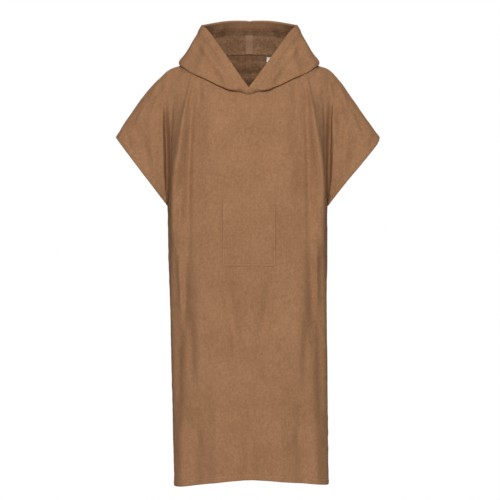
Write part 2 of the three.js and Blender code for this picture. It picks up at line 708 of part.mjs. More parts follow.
// Flat tape over the centre seam of the hood, inside, from the neck seam over the roll
function makeTape(right, sheet, colour) {
  const station = HOOD_ANGLES.length - 1;
  const rows = TAPE.lastRow;
  const patch = layPatch(4, rows, (across, down) => {
    const row = Math.round(down * rows);
    const seam = right.inner[sheet.at.get(`${row} ${station}`)];
    const beside = right.inner[sheet.at.get(`${row} ${station - 1}`)];
    const sideways = (2 * across - 1) * TAPE.halfWidth;
    const share = Math.abs(sideways) / (beside.x - seam.x);
    const before = right.inner[sheet.at.get(`${Math.max(row - 1, 0)} ${station}`)];
    const after = right.inner[sheet.at.get(`${Math.min(row + 1, rows + 1)} ${station}`)];
    const along = after.clone().sub(before);
    const inside = new THREE.Vector3(0, -along.z, along.y).normalize();
    const point = seam.clone().lerp(beside, share);
    point.x = seam.x - SEAM_DRAW + sideways;
    if (row === 0) {
      point.z += TAPE.aboveSeam;
    }
    const near = point.clone().addScaledVector(inside, TAPE.clearance);
    return { near, far: near.clone().addScaledVector(inside, TAPE.thickness) };
  });
  patch.triangles = patch.triangles.map(([a, b, c]) => [a, c, b]);
  return clothWall('hood_seam_tape', patch, colour);
}

function makePoncho() {
  const towelling = 0x9d7352;
  const frontSheet = panelSheet('front');
  const backSheet = panelSheet('back');
  const leftSheet = hoodSheet(-1);
  const rightSheet = hoodSheet(1);
  const bodyOut = outwardDirections([frontSheet, backSheet]);
  const hoodOut = outwardDirections([leftSheet, rightSheet]);
  const front = skins(frontSheet, bodyOut, hoodOut, -1);
  const back = skins(backSheet, bodyOut, hoodOut, -1);
  const left = skins(leftSheet, hoodOut, bodyOut, 1);
  const right = skins(rightSheet, hoodOut, bodyOut, 1);
  const poncho = new THREE.Group();
  poncho.name = 'bath_poncho';
  poncho.add(clothWall('front_panel', front, towelling));
  poncho.add(clothWall('back_panel', back, towelling));
  poncho.add(clothWall('hood_left', left, towelling));
  poncho.add(clothWall('hood_right', right, towelling));
  poncho.add(makeTape(right, rightSheet, 0xa37c5c));
  poncho.add(makePocket(front, towelling));
  poncho.add(makeLabel(back, 0xf0ede6));
  return poncho;
}

export default makePoncho();
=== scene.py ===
"""Hooded bath poncho of brown terry towelling, filled out as it is worn, with nobody in it."""

import math

import bpy
import numpy as np
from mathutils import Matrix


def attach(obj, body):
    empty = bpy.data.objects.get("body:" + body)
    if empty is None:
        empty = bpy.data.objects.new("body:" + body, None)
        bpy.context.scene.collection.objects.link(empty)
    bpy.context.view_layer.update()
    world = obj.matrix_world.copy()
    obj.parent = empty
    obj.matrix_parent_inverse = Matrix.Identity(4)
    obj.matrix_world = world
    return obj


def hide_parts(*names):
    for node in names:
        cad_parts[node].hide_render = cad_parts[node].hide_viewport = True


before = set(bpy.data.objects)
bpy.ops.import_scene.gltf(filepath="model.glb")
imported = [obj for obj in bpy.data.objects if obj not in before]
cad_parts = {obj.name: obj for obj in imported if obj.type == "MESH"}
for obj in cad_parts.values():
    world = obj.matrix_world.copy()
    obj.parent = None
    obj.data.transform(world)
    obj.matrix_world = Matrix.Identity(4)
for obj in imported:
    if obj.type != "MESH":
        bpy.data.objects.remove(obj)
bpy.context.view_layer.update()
bpy.ops.object.select_all(action="DESELECT")


# The cut. Front and back are one piece of towelling each, cap sleeves cut in one with them. The
# tables and functions below give the worn shape of both in millimetres, at the rows and columns
# that the garment is cut to; a smooth curve through them makes the sheets fine.
UNDERARM_Z = -378
NEAR_HEM_Z = -1100
SLEEVE_TOP_Z = -29
SLEEVE_TIP = (348, -198)
SLEEVE_HALF_DEPTH = {"body": 50, "hem": 44}
SEAM_TURN = 16.3
SHOULDER_COLUMNS = [(191, 5), (201, 9), (211, 13), (222, SEAM_TURN)]
NECK_COLUMNS = 12
BODY_COLUMNS = NECK_COLUMNS + len(SHOULDER_COLUMNS)
SLEEVE_COLUMNS = 6
UPPER_ROWS = 9
LOWER_ROWS = 18
UNDERARM_ROW = {"front": UPPER_ROWS, "back": UPPER_ROWS + 2}
NECK_RING = {"half": 181, "front": 88, "back": 81}
CHEST_POWER = 2.3
LOBE_POWER = 0.86
SOFTNESS = 18
CREST_SHARE = 0.6
TURN_IN = {"share": 0.45, "out": 1}
NECK_SPREAD = (0.02, 0.42)
NECK_FADE = {"end": 0.22, "power": 1.5}
SETTLE_DEPTH = (70, 210)
LEAN_REACH = (170, 300)
# The tip of one sleeve is rounded off where it would pass this reach
ROUND_TIP = {"reach": 345.5, "radius": 3}
# Folds fade out towards the sides, and near the shoulder seam
FOLD_FACING = (0, 0.35)
FOLD_START = (0.02, 0.1)

# Top edge of shoulder and cap sleeve, out from the middle
SHOULDER_LINE = {
    "x": [0, 100, 150, 182, 205, 222, 242, 262, 278, 300, 329, 348],
    "z": [32, 20, 5, -8, -17, -29, -48, -69, -90, -121, -164, -198],
}
# Height of the neck seam round the neck, from the throat at 0 to the nape at 180
NECK_SEAM = {
    "angle": [0, 12, 24, 36, 48, 64, 81, 90, 103, 125, 150, 180],
    "z": [-89, -81, -65, -48, -34, -22, -13, -8, -1, 10, 19, 23],
}
# Level cuts through the body: depth of front and back, how far out their rounded faces reach and
# how deep they are there, and how far out the side seam and the armhole edge lie
SECTIONS = {
    "z": [20, -29, -84, -130, -180, -250, -320, -378, -430, -500, -600, -720, -900, -1125],
    "front": [50, 68, 88, 101, 112, 121, 126, 128, 128, 128, 126, 123, 119, 116],
    "back": [80, 86, 97, 106, 113, 119, 121, 122, 121, 120, 118, 116, 113, 110],
    "front half": [195, 195, 196, 197, 199, 199, 199, 200, 201, 202, 204, 206, 204, 202],
    "back half": [195, 196, 198, 201, 204, 207, 209, 212, 212, 211, 209, 206, 204, 202],
    "front turn": [20, 22, 28, 38, 48, 54, 56, 56, 54, 48, 36, 22, 12, 10],
    "back turn": [20, 22, 28, 34, 42, 46, 47, 46, 44, 40, 30, 20, 12, 10],
    "seam": [222, 222, 219, 215, 212, 209, 208, 210, 199, 193, 196, 202, 204, 203],
    "edge": [237, 237, 233, 228, 224, 221, 218, 212, 212, 212, 212, 212, 212, 212],
}
NECK_SECTIONS = {
    "z": [17, 7, -8, -17, -32, -60, -110],
    "half": [150, 169, 181, 186, 200, 211, 215],
}
# Depth of the valley between body and sleeve, and how the hung garment sways and its sleeves lean
VALLEY = {"z": [-110, -174, -250, -320, -378], "depth": [46, 30, 22, 14, 0]}
SWING = {"z": [110, 0, -200, -500, -820, -1120], "shift": [2, 1, -2, -2.5, 2, 7]}
LEAN = {"z": [-25, -60, -120, -152, -186, -216, -262, -330], "shift": [0, -8, -8, -8, 0, 5, 4, 0]}
# Height of the hem across front and back
HEM = {
    "x": [-204, -150, -90, 0, 90, 150, 204],
    "front": [-1116, -1111, -1102, -1093, -1100, -1106, -1112],
    "back": [-1116, -1120, -1116, -1111, -1113, -1117, -1112],
}


def curve(table, key, column):
    """A smooth curve through one column of a table"""
    order = np.argsort(table[key])
    at = np.array(table[key], float)[order]
    value = np.array(table[column], float)[order]
    low = np.maximum(np.arange(len(at)) - 1, 0)
    high = np.minimum(np.arange(len(at)) + 1, len(at) - 1)
    slope = (value[high] - value[low]) / (at[high] - at[low])

    def through(place):
        held = np.clip(place, at[0], at[-1])
        i = np.clip(np.searchsorted(at, held) - 1, 0, len(at) - 2)
        span = at[i + 1] - at[i]
        t = (held - at[i]) / span
        turn = 3 * t**2 - 2 * t**3
        start = (1 - turn) * value[i] + (t**3 - 2 * t**2 + t) * span * slope[i]
        return start + turn * value[i + 1] + (t**3 - t**2) * span * slope[i + 1]

    return through


def ease(value, start, end):
    """Goes smoothly from 0 at start to 1 at end"""
    share = np.clip((value - start) / (end - start), 0, 1)
    return share * share * (3 - 2 * share)


def mix(start, end, share):
    return start + (end - start) * share


def ridge(distance, width):
    """A soft ridge of height 1 along the line where the distance is 0"""
    return np.exp(-((distance / width) ** 2))


shoulder_height = curve(SHOULDER_LINE, "x", "z")
neck_seam_height = curve(NECK_SEAM, "angle", "z")
neck_half = curve(NECK_SECTIONS, "z", "half")
valley_depth = curve(VALLEY, "z", "depth")
swing = curve(SWING, "z", "shift")
lean = curve(LEAN, "z", "shift")
section = {column: curve(SECTIONS, "z", column) for column in SECTIONS if column != "z"}
hem_height = {face: curve(HEM, "x", face) for face in ("front", "back")}


def as_worn(x, z):
    """Sideways place once the garment hangs as it does, not quite alike on both sides"""
    return x + swing(z) + lean(z) * ease(x, *LEAN_REACH)


def neck_ring(angle):
    """A place on the neck seam"""
    a = math.radians(angle)
    depth = NECK_RING["front"] if math.cos(a) > 0 else NECK_RING["back"]
    return np.array([NECK_RING["half"] * math.sin(a), -depth * math.cos(a), neck_seam_height(angle)])


def share_down(turn):
    """Share of the way from the shoulder to the underarm at a turn round the sleeve"""
    return (1 - math.cos(math.radians(turn))) / 2


def row_turn(face, row, seam_turn):
    """Turn round the sleeve of a row of the cut. The back starts in front of the shoulder line"""
    front_row = row if face == "front" else row - 2
    if front_row < 0:
        return (front_row + 1) * seam_turn
    return seam_turn + (180 - seam_turn) * min(front_row / UPPER_ROWS, 1)


def upper_depth(face, x, z):
    """Depth of chest or shoulder blades, blended with the tube that runs out into the sleeve"""
    half = neck_half(z)
    inside = max(1 - (min(x, half) / half) ** CHEST_POWER, 0)
    chest = section[face](z) * inside ** (1 / CHEST_POWER)
    top = shoulder_height(x)
    drop = min(max((top - z) / (top - UNDERARM_Z), 0), 1)
    tube = SLEEVE_HALF_DEPTH["body"] * math.sqrt(1 - (1 - 2 * drop) ** 2)
    crest = 1 - ease(tube, 0, SLEEVE_HALF_DEPTH["body"] * CREST_SHARE)
    return (chest + tube + math.hypot(chest - tube, SOFTNESS)) / 2 - SOFTNESS / 2 * crest


def body_point(face, sign, column, row):
    """Place of a row and column of the body, and how much of a fold shows there"""
    forward = -1 if face == "front" else 1
    lower = max(row - UNDERARM_ROW[face], 0) / LOWER_ROWS
    on_neck = column <= NECK_COLUMNS
    shoulder_x, seam_turn = (0, SEAM_TURN) if on_neck else SHOULDER_COLUMNS[column - NECK_COLUMNS - 1]
    turn = row_turn(face, row, seam_turn)
    neck_span = column / NECK_COLUMNS
    ring = neck_ring(90 * neck_span if face == "front" else 180 - 90 * neck_span)
    top_x = ring[0] if on_neck else shoulder_x
    signed_share = math.copysign(share_down(turn), turn)
    seam_side = share_down(SEAM_TURN) * -forward
    share = (signed_share - seam_side) / (1 - seam_side)
    if lower > 0:
        hem_x = sign * section["seam"](NEAR_HEM_Z) * math.sin(column / BODY_COLUMNS * math.pi / 2)
        z = mix(UNDERARM_Z, hem_height[face](hem_x), lower)
    elif on_neck:
        z = mix(ring[2], UNDERARM_Z, max(share, 0))
    else:
        z = mix(shoulder_height(top_x), UNDERARM_Z, abs(signed_share))
    half = section[face + " half"](z)
    widest = section[face + " turn"](z)
    seam_x = section["seam"](z)
    around = min(column / (BODY_COLUMNS - 2), 1) * math.pi / 2
    valley = valley_depth(z) if z > UNDERARM_Z else 0
    low_x = half * math.sin(around) ** LOBE_POWER
    low_y = widest + (section[face](z) - widest) * max(math.cos(around), 0) ** LOBE_POWER
    if column == BODY_COLUMNS - 1:
        low_x = mix(half, seam_x, TURN_IN["share"]) + TURN_IN["out"]
        low_y = mix(widest, valley, TURN_IN["share"])
    if column == BODY_COLUMNS:
        low_x = seam_x
        low_y = valley
    x = mix(top_x, low_x, 1 if lower > 0 else ease(share, *NECK_SPREAD))
    y = mix(upper_depth(face, x, z), low_y, ease(-z, *SETTLE_DEPTH))
    if not on_neck and abs(turn) <= seam_turn:
        y = SLEEVE_HALF_DEPTH["body"] * math.sin(math.radians(turn))
    if on_neck and lower == 0:
        fade = (1 - ease(share, 0, NECK_FADE["end"])) ** NECK_FADE["power"]
        y += (forward * ring[1] - upper_depth(face, ring[0], ring[2])) * fade
    facing = ease(math.cos(around), *FOLD_FACING) * ease(share, *FOLD_START)
    return [as_worn(sign * x, z), forward * y, z, facing, 0]


def sleeve_point(face, sign, column, row):
    """Place of a row and column of a cap sleeve, and how much of a fold shows there"""
    forward = -1 if face == "front" else 1
    turn = row_turn(face, row, SEAM_TURN)
    down = share_down(turn)
    across = (column - 1) / (SLEEVE_COLUMNS - 1)
    edge_top = shoulder_height(section["edge"](SLEEVE_TOP_Z))
    edge_z = mix(edge_top, UNDERARM_Z, down)
    underarm = np.array([section["seam"](UNDERARM_Z), UNDERARM_Z])
    edge = np.array([section["edge"](edge_z) if down < 0.999 else underarm[0], edge_z])
    x, z = mix(edge, mix(np.array(SLEEVE_TIP), underarm, down), across)
    top_x = mix(section["edge"](SLEEVE_TOP_Z), SLEEVE_TIP[0], across)
    z += (shoulder_height(top_x) - mix(edge_top, SLEEVE_TIP[1], across)) * (1 - down) ** 2
    half_depth = mix(SLEEVE_HALF_DEPTH["body"], SLEEVE_HALF_DEPTH["hem"], across)
    y = forward * half_depth * math.sin(math.radians(turn))
    worn = as_worn(sign * x, z)
    if sign > 0:
        past_tip = (worn - ROUND_TIP["reach"]) / ROUND_TIP["radius"]
        worn -= ROUND_TIP["radius"] * math.log1p(math.exp(past_tip))
    return [worn, y, z, 0, min(column / 2, 1)]


def cut_grids(face):
    """Body and both sleeves of a panel, at the rows and columns of the cut"""
    last = UNDERARM_ROW[face]
    columns = range(-BODY_COLUMNS, BODY_COLUMNS + 1)
    body = [
        [body_point(face, 1 if c >= 0 else -1, abs(c), row) for c in columns]
        for row in range(last + LOWER_ROWS + 1)
    ]
    grids = {"body": np.array(body)}
    for sign in (-1, 1):
        rows = []
        for row in range(last + 1):
            seam = body_point(face, sign, BODY_COLUMNS, row)
            away = [sleeve_point(face, sign, c, row) for c in range(1, SLEEVE_COLUMNS + 1)]
            rows.append([seam] + (away if row < last else [seam] * SLEEVE_COLUMNS))
        grids[sign] = np.array(rows)
        grids[sign][:, :, 4] = np.minimum(np.arange(SLEEVE_COLUMNS + 1) / 2, 1)
    return grids


def finer(grid, steps, before, after, knots):
    """A grid made finer along its first axis, by a smooth curve through its points"""
    padded = np.concatenate([before[None], grid, after[None]])
    rate = np.diff(padded, axis=0) / knots[:, None, None]
    span = knots[:, None, None]
    slope = (rate[1:] * span[:-1] + rate[:-1] * span[1:]) / (span[1:] + span[:-1])
    parts = []
    for i, count in enumerate(steps):
        t = (np.arange(count) / count)[:, None, None]
        turn = 3 * t**2 - 2 * t**3
        start = (1 - turn) * grid[i] + (t**3 - 2 * t**2 + t) * knots[i + 1] * slope[i]
        parts.append(start + turn * grid[i + 1] + (t**3 - t**2) * knots[i + 1] * slope[i + 1])
    return np.concatenate(parts + [grid[-1:]])


LEAST_CHORD = 4.0


def spacing(line, before, after):
    """Knots for finer(): the chords of one line of the grid and of its neighbours past the ends"""
    points = np.concatenate([before[None], line, after[None]])[:, :3]
    return np.maximum(np.linalg.norm(np.diff(points, axis=0), axis=1), LEAST_CHORD)


def beyond(first, second):
    """The place as far past the first as the second is before it"""
    return 2 * first - second


cut = {face: cut_grids(face) for face in ("front", "back")}
ROW_STEPS = 7
COLUMN_STEPS = 5
HEM_STEPS = 14
SLEEVE_HEM_STEPS = 9
# The row whose chords give the spacing of the columns
KNOT_ROW = 4
CALM = {"passes": 40, "pull": 0.6, "near": (2, 12), "start": (0, 5), "end": (24, 40)}
VALLEY_FOOT = {
    "reach": 16, "passes": 3, "pull": 0.6, "near": (2, 7), "start": (10, 26), "end": (16, 5),
    "sunk reach": 5, "shift": 5, "sunk": 0.35,
}


def calm_corners(body):
    """Evens out the cloth below the two ends of the neck seam, where the columns change direction"""
    rows = np.arange(len(body))[:, None]
    columns = np.arange(body.shape[1])[None] - body.shape[1] // 2
    near = 1 - ease(np.abs(np.abs(columns) - NECK_COLUMNS * COLUMN_STEPS), *CALM["near"])
    weight = (near * ease(rows, *CALM["start"]) * (1 - ease(rows, *CALM["end"])))[:, 1:-1, None]
    for _ in range(CALM["passes"]):
        average = (body[:, :-2] + body[:, 2:]) / 2
        body[:, 1:-1] = mix(body[:, 1:-1], average, CALM["pull"] * weight)
    return body


def soften_valley(body, sleeve, sign):
    """Rounds the foot of the valley between the body and a sleeve, and sinks it under the sleeve"""
    reach = VALLEY_FOOT["reach"]
    height = len(sleeve)
    beside = body[:height, :reach] if sign < 0 else body[:height, ::-1][:, :reach]
    strip = np.concatenate([sleeve[:, reach:0:-1], beside], axis=1)
    aside = np.abs(np.arange(strip.shape[1]) - reach)[None]
    rows = np.arange(height)[:, None]
    last_start, last_end = VALLEY_FOOT["end"]
    down = ease(rows, *VALLEY_FOOT["start"]) * (1 - ease(rows, height - last_start, height - last_end))
    weight = ((1 - ease(aside, *VALLEY_FOOT["near"])) * down)[:, 1:-1, None]
    for _ in range(VALLEY_FOOT["passes"]):
        average = (strip[:, :-2] + strip[:, 2:]) / 2
        strip[:, 1:-1] = mix(strip[:, 1:-1], average, VALLEY_FOOT["pull"] * weight)
    foot = (1 - ease(aside, 0, VALLEY_FOOT["sunk reach"])) * down
    strip[..., 0] += sign * VALLEY_FOOT["shift"] * foot
    strip[..., 1] *= 1 - VALLEY_FOOT["sunk"] * foot
    sleeve[:, reach:0:-1] = strip[:, :reach]
    sleeve[:, 0] = strip[:, reach]
    if sign < 0:
        body[:height, :reach] = strip[:, reach:]
    else:
        body[:height, -reach:] = strip[:, reach:][:, ::-1]


def fine_panel(face):
    """Fine grids of the body and the sleeves, each smooth across its seams with the other panel"""
    own = cut[face]
    other = cut["back" if face == "front" else "front"]
    under = UNDERARM_ROW[face]
    other_under = UNDERARM_ROW["back" if face == "front" else "front"]
    body = own["body"]
    sides = {}
    for sign in (-1, 1):
        edge = 0 if sign < 0 else -1
        beside = 1 if sign < 0 else -2
        past = other["body"][:, beside][other_under - under:] if face == "front" else None
        if past is None:
            past = np.concatenate([body[:2, beside], other["body"][:, beside]])
        sides[sign] = past[: len(body)].copy()
        sides[sign][: under + 1] = own[sign][:, 1]
    top = beyond(body[0], body[1])
    for column in range(body.shape[1]):
        if abs(column - BODY_COLUMNS) > NECK_COLUMNS:
            top[column] = other["body"][1, column]
    bottom = beyond(body[-1], body[-2])
    row_knots = spacing(body[:, -1], top[-1], bottom[-1])
    row_steps = [ROW_STEPS] * (len(body) - 2) + [HEM_STEPS]
    column_steps = [COLUMN_STEPS] * (body.shape[1] - 1)
    knot_row = under + KNOT_ROW
    column_knots = spacing(body[knot_row], sides[-1][knot_row], sides[1][knot_row])
    wide = finer(
        body.transpose(1, 0, 2), column_steps, sides[-1], sides[1], column_knots
    ).transpose(1, 0, 2)
    top_before = beyond(top[0], top[1])[None]
    top_after = beyond(top[-1], top[-2])[None]
    wide_top = finer(top[:, None], column_steps, top_before, top_after, column_knots)[:, 0]
    fine_body = finer(wide, row_steps, wide_top, beyond(wide[-1], wide[-2]), row_knots)
    fine = {"body": calm_corners(fine_body)}
    for sign in (-1, 1):
        sleeve = own[sign]
        beside = body[: under + 1, 1 if sign < 0 else -2]
        end = other[sign][other_under - 1].copy()
        end[0] = body[under + 1, 0 if sign < 0 else -1]
        start = other[sign][1]
        steps = [COLUMN_STEPS] * (SLEEVE_COLUMNS - 1) + [SLEEVE_HEM_STEPS]
        grid = np.concatenate([start[None], sleeve, end[None]])
        beside = np.concatenate([beside[:1], beside, beside[-1:]])
        past = beyond(grid[:, -1], grid[:, -2])
        knots = spacing(sleeve[KNOT_ROW], beside[KNOT_ROW + 1], past[KNOT_ROW + 1])
        grid = finer(grid.transpose(1, 0, 2), steps, beside, past, knots).transpose(1, 0, 2)
        rows = finer(grid[1:-1], [ROW_STEPS] * under, grid[0], grid[-1], row_knots[: under + 2])
        rows[-1, :, :3] = rows[-1, 0, :3]
        soften_valley(fine["body"], rows, sign)
        fine[sign] = rows
    return fine


fine_cut = {face: fine_panel(face) for face in ("front", "back")}


def length_along(points, axis):
    """Distance along the cloth from the start of each line of a grid"""
    steps = np.linalg.norm(np.diff(points[..., :3], axis=axis), axis=-1)
    start = np.zeros_like(np.take(steps, [0], axis=axis))
    return np.cumsum(np.concatenate([start, steps], axis=axis), axis=axis)


def quads_of(grid, flipped=False):
    """Quads between the points of a grid, each as its four corners in turn"""
    a, b, c, d = grid[:-1, :-1], grid[:-1, 1:], grid[1:, 1:], grid[1:, :-1]
    corners = (a, d, c, b) if flipped else (a, b, c, d)
    return np.stack([corner.ravel() for corner in corners], axis=1)


# Stands for a distance from an edge that this part of a panel doesn't have
FAR = 999.0


def sheet_of_panel(face):
    """Points, quads and named values of a panel, its body and sleeves joined at the armholes"""
    fine = fine_cut[face]
    body = fine["body"]
    rows, columns = body.shape[:2]
    across = length_along(body, 1)
    down = length_along(body, 0)
    middle = columns // 2
    u = across - across[:, [middle]]
    v = np.repeat(down[:, [middle]], columns, axis=1)
    first_lower = UNDERARM_ROW[face] * ROW_STEPS
    side = np.minimum(across, across[:, [-1]] - across)
    side[:first_lower] = np.hypot(side[:first_lower], (down[[first_lower]] - down[:first_lower]))
    corner = NECK_COLUMNS * COLUMN_STEPS
    on_neck = np.abs(np.arange(columns) - middle) <= corner
    aside = np.abs(across[..., None] - across[:, None, [middle - corner, middle + corner]]).min(axis=-1)
    shoulder = np.where(on_neck, np.hypot(down, aside), down)
    neck = np.where(on_neck, down, np.hypot(down, aside))
    values = {
        "u": u, "v": v, "side": side, "shoulder": shoulder, "neck": neck,
        "hem": down[[-1]] - down, "sleeve hem": np.full_like(down, FAR),
        "body fold": body[..., 3], "sleeve fold": np.zeros_like(down),
    }
    points = [body[..., :3].reshape(-1, 3)]
    flat = {name: [value.ravel()] for name, value in values.items()}
    index = {"body": np.arange(rows * columns).reshape(rows, columns)}
    count = rows * columns
    for sign in (-1, 1):
        sleeve = fine[sign]
        height, width = sleeve.shape[:2]
        edge = index["body"][:height, 0 if sign < 0 else -1]
        grid = np.zeros((height, width), int)
        grid[:, 0] = edge
        fresh = (height - 1) * (width - 1)
        grid[:-1, 1:] = count + np.arange(fresh).reshape(height - 1, width - 1)
        grid[-1, 1:] = edge[-1]
        count += fresh
        index[sign] = grid
        points.append(sleeve[:-1, 1:, :3].reshape(-1, 3))
        out = length_along(sleeve, 1)
        fall = length_along(sleeve, 0)
        new = {
            "u": u[:height, [0 if sign < 0 else -1]] + sign * out,
            "v": v[:height, [0]] + 0 * out, "side": np.hypot(out, fall[[-1]] - fall), "shoulder": fall,
            "neck": np.full_like(out, FAR), "hem": np.full_like(out, FAR),
            "sleeve hem": out[:, [-1]] - out,
            "body fold": np.zeros_like(out), "sleeve fold": sleeve[..., 4],
        }
        for name, value in new.items():
            flat[name].append(value[:-1, 1:].ravel())
    quads = []
    for name, grid in index.items():
        outward = (name != -1) == (face == "front")
        quads.append(quads_of(grid, flipped=outward))
    return {
        "points": np.concatenate(points), "quads": np.concatenate(quads), "index": index,
        **{name: np.concatenate(value) for name, value in flat.items()},
    }


def face_normals(points, quads):
    """Outward direction of each quad, as long as twice its area"""
    diagonal = points[quads[:, 2]] - points[quads[:, 0]]
    return np.cross(diagonal, points[quads[:, 3]] - points[quads[:, 1]])


# Points that agree when rounded to these steps are the same place on two sides of a seam
STEPS_PER_MM = 5


def add_normals(sheets):
    """Outward direction at every point, the same on both sides of a seam"""
    own = []
    for sheet in sheets:
        normals = np.zeros_like(sheet["points"])
        flat = face_normals(sheet["points"], sheet["quads"])
        for corner in range(4):
            np.add.at(normals, sheet["quads"][:, corner], flat)
        own.append(normals)
    places = np.concatenate([np.round(sheet["points"] * STEPS_PER_MM) for sheet in sheets])
    _, group = np.unique(places, axis=0, return_inverse=True)
    group = group.ravel()
    total = np.zeros((group.max() + 1, 3))
    np.add.at(total, group, np.concatenate(own))
    shared = total[group] / np.linalg.norm(total[group], axis=1, keepdims=True)
    start = 0
    for sheet in sheets:
        sheet["normals"] = shared[start:start + len(sheet["points"])]
        start += len(sheet["points"])


panels = {face: sheet_of_panel(face) for face in ("front", "back")}
add_normals([panels["front"], panels["back"]])


# Folds of the panels, laid where the photo shows them, and like ones on the back. A row
# is a soft ridge or trough: top x and z, low x and z, sideways bow, width and height.
FRONT_FOLDS = [
    (-157, -96, -196, -520, -11, 12, 25.0),
    (-136, -6, -176, -200, -5, 5, 8.0),
    (-146, -52, -156, -560, -7, 9, -11.0),
    (-138, -60, -142, -560, 0, 24, -9.0),
    (-174, -330, -181, -480, 0, 7, 9.0),
    (159, -96, 198, -520, 9, 12, 24.0),
    (140, -6, 174, -190, 4, 5, 7.5),
    (150, -46, 158, -560, 4, 9, -10.0),
    (138, -70, 142, -540, 0, 24, -9.0),
    (178, -340, 183, -450, 0, 7, 7.0),
    (-126, -40, -127, -122, 0, 6, -5.0),
    (116, -36, 122, -150, 2, 7, -4.0),
    (-92, -86, -98, -300, -4, 15, 3.6),
    (88, -80, 98, -280, 4, 15, 3.2),
    (-42, -110, -50, -350, 3, 17, -3.0),
    (34, -120, 46, -360, -3, 16, -2.8),
    (-164, -470, -166, -760, -3, 15, -13.0),
    (160, -470, 166, -800, 4, 15, -13.0),
    (-182, -500, -178, -700, 2, 7, 8.0),
    (-194, -440, -192, -800, 2, 11, -5.0),
    (176, -480, 181, -660, -2, 7, 8.5),
    (192, -440, 190, -800, -2, 11, -6.0),
    (-152, -660, -150, -860, 3, 11, -7.0),
    (150, -660, 150, -880, -3, 11, -6.5),
    (-178, -640, -184, -980, -3, 11, -9.0),
    (182, -660, 186, -980, 3, 11, -9.0),
    (-62, -540, -10, -830, -5, 18, -12.5),
    (64, -540, 16, -800, 5, 17, -12.0),
    (0, -548, 2, -700, 0, 17, 6.0),
    (-126, -540, -122, -860, -5, 24, 9.0),
    (130, -540, 126, -850, 5, 23, 8.0),
    (-84, -800, -82, -1240, 3, 20, 10.0),
    (84, -840, 84, -1240, -3, 22, 9.5),
    (0, -900, 2, -1300, 2, 24, -16.0),
    (-36, -680, -52, -880, 4, 11, -5.0),
    (42, -720, 52, -920, -4, 12, -5.0),
    (-138, -900, -146, -1240, 2, 18, -8.0),
    (138, -860, 142, -1240, -2, 18, -8.0),
    (-128, -960, -131, -1020, 0, 8, -5.0),
    (127, -955, 129, -1020, 0, 8, -5.0),
    (-174, -880, -178, -1200, 0, 12, 6.0),
    (174, -900, 178, -1200, 0, 12, 5.5),
]
BACK_FOLDS = [
    (-148, -40, -194, -520, -14, 14, 21.0),
    (150, -36, 198, -500, 13, 14, 20.0),
    (-150, -70, -150, -520, -3, 16, -12.0),
    (152, -60, 152, -500, 3, 16, -11.0),
    (-112, -130, -124, -530, -6, 18, -6.0),
    (116, -110, 128, -490, 6, 17, -5.5),
    (-70, -240, -86, -870, -5, 25, 11.0),
    (76, -280, 96, -910, 5, 24, 10.0),
    (2, -300, -6, -1010, 7, 30, -12.0),
    (-30, -220, -24, -520, 4, 12, 4.0),
    (38, -200, 30, -470, -3, 12, 3.8),
    (-168, -480, -166, -820, 3, 14, -11.0),
    (168, -460, 166, -800, -3, 14, -10.5),
    (-150, -640, -148, -1240, 4, 22, 9.0),
    (152, -600, 150, -1240, -5, 21, 10.0),
    (-108, -740, -112, -1240, -3, 18, -10.0),
    (106, -700, 114, -1240, 3, 18, -9.0),
    (36, -800, 44, -1240, -4, 23, 10.0),
    (-44, -860, -50, -1240, 4, 22, 9.0),
    (-6, -1000, -2, -1260, 0, 14, -7.0),
    (-84, 2, 78, 0, 5, 9, -9.0),
    (-74, -22, 88, -16, -4, 9, 7.5),
    (-66, -38, 56, -34, -5, 8, -7.0),
    (-60, -56, 56, -58, 3, 9, 8.0),
]
# A power under 1 makes a fold deepest a little above its middle
FOLD_LEAD = 0.9
SLEEVE_FOLDS = [
    (-234, -46, -264, -108, 1, 5, 5.4),
    (-270, -112, -301, -176, 1, 5, 4.8),
    (-231, -80, -253, -142, -2, 5, 4.8),
    (-238, -170, -246, -270, 2, 7, 4.2),
    (-262, -150, -250, -330, 5, 11, 5.4),
    (-232, -96, -238, -260, -3, 9, -5.4),
    (-286, -190, -262, -290, 4, 9, -4.2),
    (-312, -176, -300, -240, 2, 9, 3.8),
    (235, -58, 261, -118, -1, 5, 5.1),
    (268, -136, 294, -192, -1, 5, 4.8),
    (234, -90, 246, -150, 2, 5, 4.5),
    (234, -100, 240, -250, 3, 9, -5.1),
    (262, -160, 250, -320, -5, 11, 5.1),
    (292, -200, 268, -296, -4, 9, -4.2),
    (318, -184, 306, -246, -2, 9, 3.8),
]


def fold_height(folds, x, z):
    """Height of all the folds of a table, at places of the picture plane"""
    height = np.zeros_like(x)
    for top_x, top_z, low_x, low_z, bow, width, rise in folds:
        run_x, run_z = low_x - top_x, low_z - top_z
        run = math.hypot(run_x, run_z)
        way = np.clip(((x - top_x) * run_x + (z - top_z) * run_z) / run**2, 0, 1)
        aside = ((z - top_z) * run_x - (x - top_x) * run_z) / run - bow * 4 * way * (1 - way)
        ends = np.sin(math.pi * way**FOLD_LEAD)
        height += rise * ends * ridge(aside, width)
    return height


WAVES = {"count": 16, "shortest": 0.7, "longest": 1.7, "divisor": 5}


def unevenness(u, v, wave, seed):
    """Small uneven swells of the cloth, between -1 and 1 or so, about one wave apart"""
    generator = np.random.default_rng(seed)
    total = np.zeros_like(u)
    for _ in range(WAVES["count"]):
        turn = generator.uniform(0, math.pi)
        length = wave * generator.uniform(WAVES["shortest"], WAVES["longest"])
        start = generator.uniform(0, 2 * math.pi)
        total += np.sin(2 * math.pi * (u * math.cos(turn) + v * math.sin(turn)) / length + start)
    return total / WAVES["divisor"]


# Folds of the body stand forwards and back more than sideways, so that they don't cross at the sides
FOLD_WAY = np.array([0.3, 1.0, 0.3])
HEM_WIDTH = 13
SEAM_GROOVE = {"depth": 1.3, "width": 2.6}
